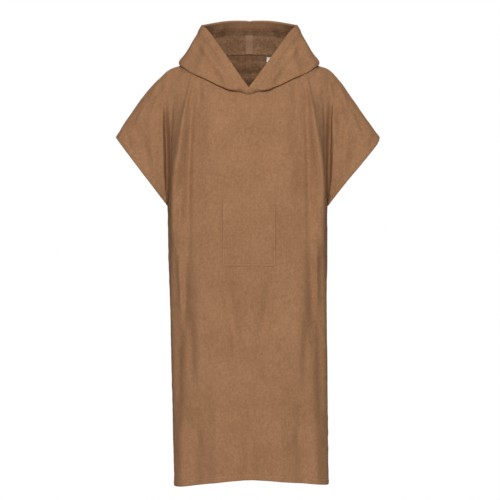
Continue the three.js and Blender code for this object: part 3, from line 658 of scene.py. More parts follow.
# Small swells of the cloth: height, squeeze down the cloth, length of a wave and seed
SWELLS = [(0.9, 0.5, 70, 3), (0.35, 0.7, 24, 5)]
SWELL_START = (3, 30)
HEM_PUCKER = {"height": 0.45, "width": 7, "start": (2, 12), "wave": 12, "seed": 9}
SIDE_PUCKER = {"height": 0.7, "width": 12, "start": (1, 6), "slant": 0.3, "wave": 26, "seed": 4}
for face, sheet in panels.items():
    x, z = sheet["points"][:, 0], sheet["points"][:, 2]
    folds = FRONT_FOLDS if face == "front" else BACK_FOLDS
    forwards = sheet["normals"] * FOLD_WAY
    forwards /= np.linalg.norm(forwards, axis=1, keepdims=True)
    depth = fold_height(folds, x, z) * sheet["body fold"]
    rise = fold_height(SLEEVE_FOLDS, x, z) * sheet["sleeve fold"]
    from_seam = np.minimum(np.minimum(sheet["side"], sheet["shoulder"]), sheet["neck"])
    clear = ease(from_seam, *SWELL_START)
    for swell, squeeze, wave, seed in SWELLS:
        rise += clear * (swell * unevenness(sheet["u"], squeeze * sheet["v"], wave, seed))
    from_hem = np.minimum(sheet["hem"], sheet["sleeve hem"])
    along = np.where(sheet["hem"] < sheet["sleeve hem"], sheet["u"], sheet["v"])
    pucker = HEM_PUCKER["height"] * ridge(from_hem - HEM_WIDTH, HEM_PUCKER["width"])
    pucker *= ease(from_seam, *HEM_PUCKER["start"])
    rise += pucker * unevenness(along, 0 * along, HEM_PUCKER["wave"], HEM_PUCKER["seed"])
    from_side = np.minimum(sheet["side"], sheet["shoulder"])
    side_pucker = SIDE_PUCKER["height"] * ridge(from_side, SIDE_PUCKER["width"])
    side_pucker = side_pucker * ease(from_seam, *SIDE_PUCKER["start"])
    slanted = sheet["v"] + sheet["u"] * SIDE_PUCKER["slant"]
    rise += side_pucker * unevenness(0 * slanted, slanted, SIDE_PUCKER["wave"], SIDE_PUCKER["seed"])
    sheet["points"] = sheet["points"] + sheet["normals"] * rise[:, None] + forwards * depth[:, None]
add_normals([panels["front"], panels["back"]])


# Edges bent less than this many degrees are shaded smooth
SMOOTH_ANGLE = 52
MM_PER_METRE = 1000
TINY = 1e-6
# Turns of the points that round an edge, from the outer skin to the inner one
RIM_TURNS = (45, 90, 135)


def smooth_by_angle(piece):
    """Shades a piece smooth, apart from its sharp edges"""
    bpy.context.view_layer.objects.active = piece
    piece.select_set(True)
    bpy.ops.object.shade_smooth_by_angle(angle=math.radians(SMOOTH_ANGLE))
    piece.select_set(False)


def open_edges(quads):
    """Edges of a sheet that only one quad has, in the direction of that quad"""
    edges = {}
    for quad in quads.tolist():
        for i in range(4):
            start, end = quad[i], quad[(i + 1) % 4]
            if start != end:
                edges[start, end] = True
    return [edge for edge in edges if (edge[1], edge[0]) not in edges]


def cloth_wall(name, sheet, inside, outside, rounded, finishes, turned=None):
    """A closed wall: an outer and an inner skin, and rounded edges. Turned hems show the last finish"""
    points, normals, quads = sheet["points"], sheet["normals"], sheet["quads"]
    count = len(points)
    outer = points + normals * outside[:, None]
    inner = points - normals * inside[:, None]
    edges = np.array(open_edges(quads))
    push = np.zeros_like(points)
    for start, end in ((0, 1), (1, 0)):
        along = points[edges[:, end]] - points[edges[:, start]]
        out = np.cross(along if start == 0 else -along, normals[edges[:, start]])
        size = np.linalg.norm(out, axis=1, keepdims=True)
        np.add.at(push, edges[:, start], out / np.maximum(size, TINY))
    push /= np.maximum(np.linalg.norm(push, axis=1, keepdims=True), TINY)
    rim = np.unique(edges)
    place = np.full(count, -1)
    place[rim] = np.arange(len(rim))
    middle = (outer[rim] + inner[rim]) / 2
    half = (outer[rim] - inner[rim]) / 2
    reach = np.linalg.norm(half, axis=1, keepdims=True) * np.where(rounded[rim], 1.0, 0.0)[:, None]
    arcs = [
        middle + half * math.cos(math.radians(turn)) + push[rim] * reach * math.sin(math.radians(turn))
        for turn in RIM_TURNS
    ]
    vertices = np.concatenate([outer, inner] + arcs) / MM_PER_METRE
    faces = [tuple(dict.fromkeys(quad)) for quad in quads.tolist()]
    faces += [tuple(dict.fromkeys(quad[::-1])) for quad in (quads + count).tolist()]
    arc_starts = [2 * count + k * len(rim) for k in range(len(arcs))]
    for start, end in edges.tolist():
        first = [start] + [arc + place[start] for arc in arc_starts] + [count + start]
        last = [end] + [arc + place[end] for arc in arc_starts] + [count + end]
        faces += [(first[k], first[k + 1], last[k + 1], last[k]) for k in range(len(first) - 1)]
    uv = np.stack([sheet["u"], sheet["v"]], axis=1) / MM_PER_METRE
    uv = np.concatenate([uv, uv] + [uv[rim]] * len(arcs))
    mesh = bpy.data.meshes.new(name)
    mesh.from_pydata(vertices.tolist(), [], faces)
    layer = mesh.uv_layers.new(name="cloth")
    corners = np.zeros(len(mesh.loops), int)
    mesh.loops.foreach_get("vertex_index", corners)
    layer.data.foreach_set("uv", uv[corners].ravel())
    for finish in finishes:
        mesh.materials.append(finish)
    finish_of_face = np.zeros(len(faces), int)
    inner_skin = finish_of_face[len(quads):2 * len(quads)]
    inner_skin[:] = min(1, len(finishes) - 1)
    if turned is not None:
        inner_skin[turned[quads].all(axis=1)] = len(finishes) - 1
    mesh.polygons.foreach_set("material_index", finish_of_face)
    mesh.update()
    piece = bpy.data.objects.new(name, mesh)
    bpy.context.collection.objects.link(piece)
    smooth_by_angle(piece)
    return piece


# Towelling: cotton terry in one plain brown. The outside has a short cut pile, soft and matt, that
# stands in faint ribs down the cloth and has a dull sheen at the turns. The inside has uncut loops,
# which are rougher; its colour is drawn darker, partly the loops' own look and partly painted shade
# of the hollow inside of the garment.
def linear(hex_colour):
    """An sRGB colour made linear"""
    parts = [int(hex_colour[i:i + 2], 16) / 255 for i in (1, 3, 5)]
    return tuple(p / 12.92 if p <= 0.04045 else ((p + 0.055) / 1.055) ** 2.4 for p in parts) + (1.0,)


def new_material(name):
    material = bpy.data.materials.new(name)
    material.use_nodes = True
    tree = material.node_tree
    return material, tree, tree.nodes["Principled BSDF"]


def add_node(tree, kind, settings=(), links=()):
    """A node with its settings, and the links into it"""
    node = tree.nodes.new(kind)
    for key, value in dict(settings).items():
        if isinstance(key, str) and hasattr(node, key):
            setattr(node, key, value)
        else:
            node.inputs[key].default_value = value
    for key, source in dict(links).items():
        tree.links.new(source, node.inputs[key])
    return node


def colour_ramp(tree, source, stops):
    ramp = add_node(tree, "ShaderNodeValToRGB", links={"Fac": source})
    elements = ramp.color_ramp.elements
    while len(elements) < len(stops):
        elements.new(0.5)
    for element, (position, colour) in zip(elements, stops):
        element.position = position
        element.color = linear(colour)
    return ramp


# Sizes in metres. Real ribs are about 2 mm apart and tufts about 1 mm wide. Both are drawn about
# twice as coarse, so that they show. Mottle and shade are the brushed patches of the pile.
RIB_SPACING = 0.0045
RIB_STRETCH = 0.12
PILE_SIZE = 0.0022
MOTTLE_SIZE = 0.0060
SHADE_SIZE = 0.08
TONE = {"ribs": 0.22, "shade": 0.4, "pile": 0.35, "darkest": 0.62, "lightest": 1.36}
BUMP = {"ribs": 0.25, "mottle": 0.7, "strength": 0.6}


def towelling_material(name, colours, loop_size, relief, sheen):
    """Towelling: tone from ribs, tufts, mottle and shade together, and a soft fuzzy sheen"""
    material, tree, shader = new_material(name)
    place = add_node(tree, "ShaderNodeTexCoord")
    cloth = add_node(tree, "ShaderNodeUVMap", {"uv_map": "cloth"})
    mottle = add_node(
        tree, "ShaderNodeTexNoise",
        {"Scale": 1 / MOTTLE_SIZE, "Detail": 4.0, "Roughness": 0.7},
        {"Vector": place.outputs["Object"]},
    )
    shade = add_node(
        tree, "ShaderNodeTexNoise",
        {"Scale": 1 / SHADE_SIZE, "Detail": 3.0, "Roughness": 0.6},
        {"Vector": place.outputs["Object"]},
    )
    stretch = add_node(
        tree, "ShaderNodeMapping", {"Scale": (1.0, RIB_STRETCH, 1.0)}, {"Vector": cloth.outputs["UV"]}
    )
    ribs = add_node(
        tree, "ShaderNodeTexNoise",
        {"noise_dimensions": "2D", "Scale": 1 / RIB_SPACING, "Detail": 2.0, "Roughness": 0.6},
        {"Vector": stretch.outputs["Vector"]},
    )
    pile = add_node(
        tree, "ShaderNodeTexNoise",
        {"Scale": 1 / loop_size, "Detail": 3.0, "Roughness": 0.7},
        {"Vector": place.outputs["Object"]},
    )
    tone = add_node(
        tree, "ShaderNodeMath", {"operation": "MULTIPLY_ADD", 1: TONE["ribs"]},
        {0: ribs.outputs["Fac"], 2: mottle.outputs["Fac"]},
    )
    tone = add_node(
        tree, "ShaderNodeMath", {"operation": "MULTIPLY_ADD", 1: TONE["shade"]},
        {0: shade.outputs["Fac"], 2: tone.outputs[0]},
    )
    tone = add_node(
        tree, "ShaderNodeMath", {"operation": "MULTIPLY_ADD", 1: TONE["pile"]},
        {0: pile.outputs["Fac"], 2: tone.outputs[0]},
    )
    spread = add_node(
        tree, "ShaderNodeMapRange", {"From Min": TONE["darkest"], "From Max": TONE["lightest"]},
        {"Value": tone.outputs[0]},
    )
    stops = list(zip((0.0, 0.5, 1.0), colours))
    colour = colour_ramp(tree, spread.outputs["Result"], stops)
    tree.links.new(colour.outputs["Color"], shader.inputs["Base Color"])
    height = add_node(
        tree, "ShaderNodeMath", {"operation": "MULTIPLY_ADD", 1: BUMP["ribs"]},
        {0: ribs.outputs["Fac"], 2: pile.outputs["Fac"]},
    )
    height = add_node(
        tree, "ShaderNodeMath", {"operation": "MULTIPLY_ADD", 1: BUMP["mottle"]},
        {0: mottle.outputs["Fac"], 2: height.outputs[0]},
    )
    bump = add_node(
        tree, "ShaderNodeBump", {"Strength": BUMP["strength"], "Distance": relief},
        {"Height": height.outputs[0]},
    )
    tree.links.new(bump.outputs["Normal"], shader.inputs["Normal"])
    shader.inputs["Roughness"].default_value = 0.96
    shader.inputs["Specular IOR Level"].default_value = 0.1
    shader.inputs["Sheen Weight"].default_value = sheen
    shader.inputs["Sheen Roughness"].default_value = 0.5
    shader.inputs["Sheen Tint"].default_value = linear("#D9B08C")
    return material


# Cut pile: tufts sheared to one height, which scatter light evenly and look matt
outside_pile = towelling_material(
    "cotton_towelling_cut_pile", ("#84603F", "#987051", "#AC815E"),
    loop_size=PILE_SIZE, relief=0.0015, sheen=0.12,
)
# Uncut loops: wider and deeper, with dark gaps, and coloured darker as painted shade of the inside
inside_loops_painted_shade = towelling_material(
    "cotton_towelling_loops_painted_shade", ("#523723", "#795940", "#A07B5D"),
    loop_size=PILE_SIZE * 1.4, relief=0.0050, sheen=0.10,
)
# Where a hem is turned to the inside it shows the cut pile again, coloured darker as painted shade
turned_pile_painted_shade = towelling_material(
    "cotton_towelling_turned_hem_painted_shade", ("#6D4F34", "#7F5D43", "#8F6A4D"),
    loop_size=PILE_SIZE, relief=0.0015, sheen=0.08,
)
towelling = (outside_pile, inside_loops_painted_shade, turned_pile_painted_shade)


# Front and back panels: the wall of towelling on the fine sheets, twice as thick at the hems, which
# are turned in once and stitched, and drawn in at the side and shoulder seams.
WALL = 2.5
HEM_EXTRA = 1.0
HEM_STEP = (0.5, 1.5)
HEM_STITCH = {"inset": 1.5, "dip": 0.8, "width": 1.4, "inner share": 0.6}
AT_EDGE = 0.01


def hem_dip(from_hem):
    """Depth to which the stitch row draws the hem in"""
    return HEM_STITCH["dip"] * ridge(from_hem - HEM_WIDTH + HEM_STITCH["inset"], HEM_STITCH["width"])


for face, sheet in panels.items():
    from_hem = np.minimum(sheet["hem"], sheet["sleeve hem"])
    extra = HEM_EXTRA * (1 - ease(from_hem, HEM_WIDTH - HEM_STEP[0], HEM_WIDTH + HEM_STEP[1]))
    stitched = hem_dip(from_hem)
    from_seam = np.minimum(sheet["side"], sheet["shoulder"])
    groove = SEAM_GROOVE["depth"] * ridge(from_seam, SEAM_GROOVE["width"])
    outside = extra - stitched - groove
    inside = WALL + extra - stitched * HEM_STITCH["inner share"]
    rounded = from_hem < AT_EDGE
    turned = from_hem < HEM_WIDTH
    piece = cloth_wall(f"{face}_cloth", sheet, inside, outside, rounded, towelling, turned)
    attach(piece, "root")
    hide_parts(f"{face}_panel")


# Hood: two halves of the same towelling, seamed from the neck up over the back of the head. It has
# slumped behind the neck into a pouch, and its face edge is turned in and stitched as a wide band.
# Face edge of the hood in front, from the throat at 0 round to its upper corner
FACE_EDGE = {
    "angle": [0, 20, 40, 60, 80, 92, 103],
    "x": [0, 24, 51, 79, 106, 123, 125],
    "y": [-97, -89, -73, -50, -20, 2, 26],
    "z": [-76, -43, -5, 35, 74, 93, 98],
}
# Level cuts through the slumped hood: half its width, and how far back it reaches
HOOD_SECTIONS = {
    "z": [118, 100, 88, 60, 27, -8, -48, -88, -110],
    "half": [120, 127, 132, 142, 157, 168, 168, 165, 160],
    "back": [121, 123, 126, 134, 148, 157, 161, 155, 140],
}
# Rows of the hood, from the neck seam to the face edge: share of the way where it is turned down
# plain in front; where it is slumped behind, the part, the rise in it, and the share of the gap
# between the inner and the outer side of the pouch that the row stands in
HOOD_ROWS = [
    (0.0, "stand", 0, 1), (0.04, "stand", 0.26, 1), (0.09, "stand", 0.58, 1), (0.15, "stand", 0.88, 1),
    (0.2, "roll", 1.02, 0.74), (0.25, "pouch", 0.955, 0.5), (0.31, "pouch", 0.82, 0.73),
    (0.37, "pouch", 0.58, 0.95), (0.43, "pouch", 0.3, 1.0), (0.48, "pouch", 0.08, 0.68),
    (0.53, "pouch", 0.0, 0.34), (0.58, "pouch", 0.08, 0.06), (0.64, "pouch", 0.32, 0),
    (0.71, "pouch", 0.6, 0), (0.79, "pouch", 0.86, 0), (0.86, "edge", 0.52, 0),
    (0.93, "edge", 0.24, 0), (1.0, "edge", 0, 0),
]
POUCH = {"start": 104, "full": 165, "floor side": 46, "floor back": -105, "gap side": 12, "gap back": 52}
CREST = {"side": 60, "back": 72, "roll gap": 0.9, "roll rise": 2, "stand gap": 0.86, "edge share": 0.15}
HOOD_TOP = {"corner": 98, "back": 116, "angles": (92, 165)}
HOOD_BLEND = (97, 124)
HOOD_POWER = 0.95
HOOD_CENTRE_Y = 8
HOOD_ROLL = {"front": 11.5, "side": 8.5, "reach": 10, "angles": (25, 80), "start": (2, 14)}
HOOD_BOW = 2
CORNER_ANGLE = 103
CORNER_BLEND = 15
LIP = {"drop": 10, "start": (4, 22), "end": (52, 76)}
face_edge = {axis: curve(FACE_EDGE, "angle", axis) for axis in ("x", "y", "z")}
hood_half = curve(HOOD_SECTIONS, "z", "half")
hood_back = curve(HOOD_SECTIONS, "z", "back")


def hood_outer(angle, z, inset):
    """A place on the rounded outside of the slumped hood, or inset from it"""
    a = math.radians(angle)
    back = -math.cos(a)
    x = hood_half(z) * max(math.sin(a), 0) ** HOOD_POWER
    y = mix(HOOD_CENTRE_Y, hood_back(z), math.copysign(abs(back) ** HOOD_POWER, back))
    normal = np.array([math.sin(a) / hood_half(z), back / hood_back(z), 0])
    return np.array([x, y, z]) - normal / np.linalg.norm(normal) * inset


def hood_edge(angle):
    """The face edge of the hood, from the throat over the corners to the back"""
    top = mix(HOOD_TOP["corner"], HOOD_TOP["back"], ease(angle, *HOOD_TOP["angles"]))
    rim = hood_outer(angle, top, 0)
    front = np.array([face_edge[axis](angle) for axis in ("x", "y", "z")])
    return mix(front, rim, ease(angle, CORNER_ANGLE - CORNER_BLEND, CORNER_ANGLE))


def hood_point(angle, plain, part, rise, inset):
    """Place of a row of the hood: a plain turned-down side in front, which slumps into a pouch behind"""
    ring = neck_ring(angle)
    edge = hood_edge(angle)
    outward = np.array([ring[0] / NECK_RING["half"] ** 2, ring[1] / NECK_RING["front"] ** 2, 0])
    outward /= np.linalg.norm(outward)
    side = mix(ring, edge, plain)
    away = np.linalg.norm(side - ring) / HOOD_ROLL["reach"]
    roll = mix(HOOD_ROLL["front"], HOOD_ROLL["side"], ease(angle, *HOOD_ROLL["angles"]))
    roll = roll * ease(angle, *HOOD_ROLL["start"]) * away * math.exp(1 - away)
    side = side + outward * (roll + HOOD_BOW * math.sin(math.pi * plain))
    lip = LIP["drop"] * ease(angle, *LIP["start"]) * (1 - ease(angle, *LIP["end"]))
    side[2] -= lip * away * math.exp(1 - away)
    slump = ease(angle, POUCH["start"], POUCH["full"])
    floor = mix(POUCH["floor side"], POUCH["floor back"], slump)
    crest = mix(CREST["side"], CREST["back"], slump)
    gap = mix(POUCH["gap side"], POUCH["gap back"], slump)
    if part == "edge":
        slumped = hood_outer(angle, mix(edge[2], mix(crest, edge[2], CREST["edge share"]), rise), 0)
    elif part == "stand":
        slumped = mix(ring, hood_outer(angle, crest, gap * CREST["stand gap"]), rise)
        slumped = slumped + outward * HOOD_BOW * math.sin(math.pi * rise)
        slumped[2] = mix(ring[2], crest, rise)
    else:
        narrowed = CREST["roll gap"] if part == "roll" else 1
        slumped = hood_outer(angle, mix(floor, crest, rise), gap * inset * narrowed)
    if part == "roll":
        slumped[2] = crest + CREST["roll rise"]
    return mix(side, slumped, ease(angle, *HOOD_BLEND))


# Soft folds of the hood: angle round the neck, share of the way up where it starts and ends, how far
# it leans round on the way, width in degrees and height
HOOD_FOLDS = [
    (26, 0.05, 0.85, 9, 5, 4.5),
    (42, 0.1, 0.9, 12, 6, -3.8),
    (56, 0.0, 0.8, 12, 5, 4.2),
    (70, 0.05, 0.85, 9, 7, -2.8),
    (84, 0.1, 0.75, 6, 6, 2.6),
    (118, 0.55, 1.0, -6, 7, 2.5),
    (136, 0.5, 0.98, 5, 8, -3.0),
    (152, 0.52, 1.0, -4, 7, 2.6),
    (168, 0.56, 1.0, 3, 7, -2.2),
]
HOOD_BAND = 23
HOOD_BAND_EXTRA = 1.9
HOOD_BAND_STEP = (0.8, 1.6)
BAND_STITCH = {"inset": 2.2, "dip": 1.7, "width": 1.9, "inner share": 0.7}
BAND_PUCKER = {"height": 0.5, "width": 9, "wave": 13, "seed": 6, "per degree": 3}
HOOD_SWELL = {"height": 0.5, "wave": 45, "seed": 8}
# Folds and swells fade out towards the seams and the face edge
HOOD_FADE = {"seam": (0, 20), "edge": (-8, 20)}
# Long soft ridges and troughs that follow the band: distance from the edge, width and height
BESIDE_BAND = [(36, 6, 2.4), (50, 8, -1.8)]
BESIDE_ANGLES = {"start": (14, 26), "end": (66, 88)}
# Inside at the back: the centre seam, its dent in the turned band, and the neck seam's allowance
BACK_ANGLES = (100, 120)
CENTRE_GROOVE = {"depth": 1.4, "width": 3.0}
CENTRE_DENT = {"depth": 1.8, "width": 4.5}
NECK_ALLOWANCE = {"height": 2.4, "start": (0, 1.5), "end": (7, 8.5)}
TURNED_IN = 1.6
TURNED_PAST = 0.5
MM_PER_DEGREE = 1.8
LEFT_FOLD_SHIFT = 2
# Keeps the pattern of the hood's cloth apart from that of the panels
PATTERN_START = 2000
KNOT_STATION = 12
STATION_STEPS = 5
HOOD_ROW_STEPS = [5, 4, 4, 4, 5, 5, 5, 5, 5, 5, 5, 5, 5, 5, 5, 6, 8]
hood_angles = np.arange(2 * NECK_COLUMNS + 1) * 90 / NECK_COLUMNS


def hood_sheet(sign):
    """Points, quads and named values of one half of the hood"""
    cut_points = np.array([[hood_point(angle, *row) for row in HOOD_ROWS] for angle in hood_angles])
    values = np.zeros(cut_points.shape[:2] + (2,))
    values[..., 0] = hood_angles[:, None]
    values[..., 1] = [row[0] for row in HOOD_ROWS]
    grid = np.concatenate([cut_points, values], axis=2)
    mirror = np.array([-1, 1, 1, 1, 1])
    before, after = grid[1] * mirror, grid[-2] * mirror
    before[:, 3] *= -1
    after[:, 3] = 360 - after[:, 3]
    knots = np.full(len(hood_angles) + 1, 1.0)
    fine = finer(grid, [STATION_STEPS] * (len(hood_angles) - 1), before, after, knots)
    rows = fine.transpose(1, 0, 2)
    middle = grid[KNOT_STATION]
    row_knots = spacing(middle, beyond(middle[0], middle[1]), beyond(middle[-1], middle[-2]))
    rows = finer(rows, HOOD_ROW_STEPS, beyond(rows[0], rows[1]), beyond(rows[-1], rows[-2]), row_knots)
    height, width = rows.shape[:2]
    angle, plain = rows[..., 3], rows[..., 4]
    points = rows[..., :3]
    up = length_along(points, 0)
    index = np.arange(height * width).reshape(height, width)
    points = points.copy()
    points[..., 0] = as_worn(sign * points[..., 0], points[..., 2])
    fold = np.zeros_like(angle)
    shift = LEFT_FOLD_SHIFT if sign < 0 else 0
    for place, start, end, slant, spread, rise in HOOD_FOLDS:
        way = np.clip((plain - start) / (end - start), 0, 1)
        across = angle - place - slant * (way - 0.5) * 2 - shift
        fold += rise * np.sin(math.pi * way) * ridge(across, spread)
    from_centre = np.minimum(angle, 180 - angle)
    return {
        "points": points.reshape(-1, 3),
        "quads": quads_of(index, flipped=sign < 0),
        "u": (length_along(rows, 1) + PATTERN_START).ravel(), "v": up.ravel(),
        "angle": angle.ravel(), "fold": fold.ravel(), "edge": (up[[-1]] - up).ravel(),
        "neck": up.ravel(), "centre": (from_centre * MM_PER_DEGREE).ravel(), "index": index,
    }


hood = {"left": hood_sheet(-1), "right": hood_sheet(1)}
add_normals(list(hood.values()))
for sheet in hood.values():
    seam = np.minimum(sheet["centre"], sheet["neck"])
    swell = unevenness(sheet["u"], sheet["v"], HOOD_SWELL["wave"], HOOD_SWELL["seed"])
    rise = sheet["fold"] + HOOD_SWELL["height"] * swell
    rise *= ease(seam, *HOOD_FADE["seam"]) * ease(sheet["edge"], *HOOD_FADE["edge"])
    beside = sum(height * ridge(sheet["edge"] - place, width) for place, width, height in BESIDE_BAND)
    beside *= ease(sheet["angle"], *BESIDE_ANGLES["start"])
    rise += beside * (1 - ease(sheet["angle"], *BESIDE_ANGLES["end"]))
    along = sheet["angle"] * BAND_PUCKER["per degree"]
    pucker = unevenness(along, 0 * along, BAND_PUCKER["wave"], BAND_PUCKER["seed"])
    at_band = ridge(sheet["edge"] - HOOD_BAND, BAND_PUCKER["width"])
    rise += BAND_PUCKER["height"] * pucker * at_band
    sheet["points"] = sheet["points"] + sheet["normals"] * rise[:, None]
add_normals(list(hood.values()))
for side, sheet in hood.items():
    on_band = 1 - ease(sheet["edge"], HOOD_BAND - HOOD_BAND_STEP[0], HOOD_BAND + HOOD_BAND_STEP[1])
    extra = HOOD_BAND_EXTRA * on_band
    from_stitch = sheet["edge"] - HOOD_BAND + BAND_STITCH["inset"]
    stitched = BAND_STITCH["dip"] * ridge(from_stitch, BAND_STITCH["width"])
    at_back = ease(sheet["angle"], *BACK_ANGLES)
    groove = CENTRE_GROOVE["depth"] * ridge(sheet["centre"], CENTRE_GROOVE["width"]) * at_back
    allowance = NECK_ALLOWANCE["height"] * (1 - ease(sheet["neck"], *NECK_ALLOWANCE["end"]))
    allowance = allowance * ease(sheet["neck"], *NECK_ALLOWANCE["start"]) * at_back
    turned_in = TURNED_IN * on_band * at_back
    dent = CENTRE_DENT["depth"] * ridge(sheet["centre"], CENTRE_DENT["width"]) * on_band * at_back
    outside = extra - stitched - groove
    inside = WALL + extra + turned_in - stitched * BAND_STITCH["inner share"] - dent + allowance
    rounded = sheet["edge"] < AT_EDGE
    turned = sheet["edge"] < HOOD_BAND + TURNED_PAST
    piece = cloth_wall(f"hood_{side}_cloth", sheet, inside, outside, rounded, towelling, turned)
    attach(piece, "root")
    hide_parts(f"hood_{side}")
    sheet["inside"] = inside
    sheet["outside"] = outside


# Tape over the centre seam of the hood, inside: a narrow cotton twill tape in a lighter brown. It
# covers the seam's raw edges, and is stitched flat along both sides, from the neck seam up over the
# roll.
TAPE = {"half": 9, "thickness": 1.1, "clearance": 0.5, "last row": 5, "across": 12}
TAPE_STITCH = {"from middle": 7, "dip": 0.35, "width": 0.8}
TWILL = {"spacing": 0.0014, "angle": 35}
# A wave texture of scale 1 repeats every 0.31 m
WAVE_AT_SCALE_1 = 0.31


def tape_material():
    """Woven twill: fine slanting ribs, a little glossier than the pile"""
    material, tree, shader = new_material("cotton_twill_tape")
    place = add_node(tree, "ShaderNodeUVMap", {"uv_map": "cloth"})
    turned = add_node(
        tree, "ShaderNodeMapping", {"Rotation": (0, 0, math.radians(TWILL["angle"]))},
        {"Vector": place.outputs["UV"]},
    )
    twill = add_node(
        tree, "ShaderNodeTexWave", {"Scale": WAVE_AT_SCALE_1 / TWILL["spacing"], "Distortion": 0.6},
        {"Vector": turned.outputs["Vector"]},
    )
    colour = colour_ramp(tree, twill.outputs["Fac"], [(0.1, "#765941"), (0.9, "#98765A")])
    tree.links.new(colour.outputs["Color"], shader.inputs["Base Color"])
    bump = add_node(
        tree, "ShaderNodeBump", {"Strength": 0.4, "Distance": 0.0004}, {"Height": twill.outputs["Fac"]}
    )
    tree.links.new(bump.outputs["Normal"], shader.inputs["Normal"])
    shader.inputs["Roughness"].default_value = 0.85
    shader.inputs["Specular IOR Level"].default_value = 0.2
    shader.inputs["Sheen Weight"].default_value = 0.15
    return material


def hood_tape():
    """The tape's sheet, laid level across the seam on the inside of the hood's right half"""
    sheet = hood["right"]
    index = sheet["index"]
    last = sum(HOOD_ROW_STEPS[: TAPE["last row"]])
    inner = sheet["points"] - sheet["normals"] * (sheet["inside"] + TAPE["clearance"])[:, None]
    places = np.linspace(-TAPE["half"], TAPE["half"], TAPE["across"] + 1)
    rows = []
    for row in range(1, last + 1):
        line = inner[index[row]][::-1]
        out = line[:, 0] - line[0, 0]
        reach = np.maximum.accumulate(out)
        height = np.interp(np.abs(places), reach, line[:, 2])
        depth = np.interp(np.abs(places), reach, line[:, 1])
        rows.append(np.stack([line[0, 0] + places, depth, height], axis=1))
    points = np.array(rows)
    count = points.shape[:2]
    grid = np.arange(count[0] * count[1]).reshape(count)
    tape = {
        "points": points.reshape(-1, 3), "quads": quads_of(grid),
        "u": np.tile(places, count[0]), "v": length_along(points, 0).ravel(),
    }
    add_normals([tape])
    return tape


tape = hood_tape()
from_stitch = np.abs(tape["u"]) - TAPE_STITCH["from middle"]
raised = TAPE["thickness"] - TAPE_STITCH["dip"] * ridge(from_stitch, TAPE_STITCH["width"])
square_edges = np.zeros(len(raised), bool)
tape_piece = cloth_wall(
    "hood_seam_tape_cloth", tape, 0 * raised, raised, square_edges, (tape_material(),)
)
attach(tape_piece, "root")
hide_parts("hood_seam_tape")


# Pocket: a patch of the same towelling on the front, stitched down along its foot and its lower
# sides, with a hand opening at each side. Its top is sewn from inside, so no line shows there.
POCKET = {"left": -67, "right": 68.5, "top": -363, "bottom": -537, "open to": -497}
POCKET_GRID = (64, 80)
# The rows of the front between these heights lie behind the pocket
BEHIND_POCKET = {"column": 80, "top": -320, "bottom": -580}
# How far the hand openings stand off at the middle and the sides, and the cloth between them
POCKET_GAPE = (1.6, 6.0)
POCKET_SLACK = {"height": 1.2, "reach": 30}
POCKET_STAND = {"top": 0.1, "rest": 0.4, "end": 0.3}
SEWN_ABOVE_OPENING = 6
POCKET_STITCH = {"inset": 2.4, "dip": 0.2, "width": 1.2}
POCKET_SWELL = {"height": 0.4, "wave": 26, "seed": 12, "fade": 12}
PRESSED_EDGE = {"share": 0.42, "reach": 9}
THIN_TOP = {"share": 0.05, "reach": 60}
THINNEST = 0.12


def on_front(x, z):
    """Depth of the front's outer face behind places of the picture plane"""
    sheet = panels["front"]
    body = sheet["points"][sheet["index"]["body"]]
    level = body[:, BEHIND_POCKET["column"], 2]
    rows = np.where((level < BEHIND_POCKET["top"]) & (level > BEHIND_POCKET["bottom"]))[0]
    depth = np.zeros_like(x)
    for i, place in enumerate(x[0]):
        y = [np.interp(place, body[row, :, 0], body[row, :, 1]) for row in rows]
        height = [np.interp(place, body[row, :, 0], body[row, :, 2]) for row in rows]
        depth[:, i] = np.interp(-z[:, i], -np.array(height), y)
    return depth


def pocket_sheet():
    """The pocket's sheet: on the front's outer face, slack in the middle, gaping at its openings"""
    columns, rows = POCKET_GRID
    across, down = np.meshgrid(np.linspace(0, 1, columns + 1), np.linspace(0, 1, rows + 1))
    x = mix(POCKET["left"], POCKET["right"], across)
    z = mix(POCKET["top"], POCKET["bottom"], down)
    open_share = (POCKET["top"] - z) / (POCKET["top"] - POCKET["open to"])
    hand = np.where(open_share < 1, np.sin(math.pi * np.clip(open_share, 0, 1)), 0)
    gape = hand * mix(*POCKET_GAPE, (2 * across - 1) ** 4)
    slack = POCKET_SLACK["height"] * np.sin(math.pi * down) * np.sin(math.pi * across)
    side = np.minimum(x - POCKET["left"], POCKET["right"] - x)
    foot = z - POCKET["bottom"]
    sewn = np.minimum(foot, np.where(z < POCKET["open to"] + SEWN_ABOVE_OPENING, side, FAR))
    stand = mix(POCKET_STAND["top"], POCKET_STAND["rest"], ease(down, 0, POCKET_STAND["end"]))
    stand = stand + gape + slack * ease(sewn, 0, POCKET_SLACK["reach"])
    y = on_front(x, z) - stand
    points = np.stack([x, y, z], axis=-1)
    grid = np.arange(x.size).reshape(x.shape)
    sheet = {
        "points": points.reshape(-1, 3), "index": grid, "quads": quads_of(grid, flipped=True),
        "u": x.ravel(), "v": (-z).ravel(), "side": side.ravel(), "foot": foot.ravel(),
        "sewn": sewn.ravel(), "top": (POCKET["top"] - z).ravel(),
    }
    add_normals([sheet])
    return sheet


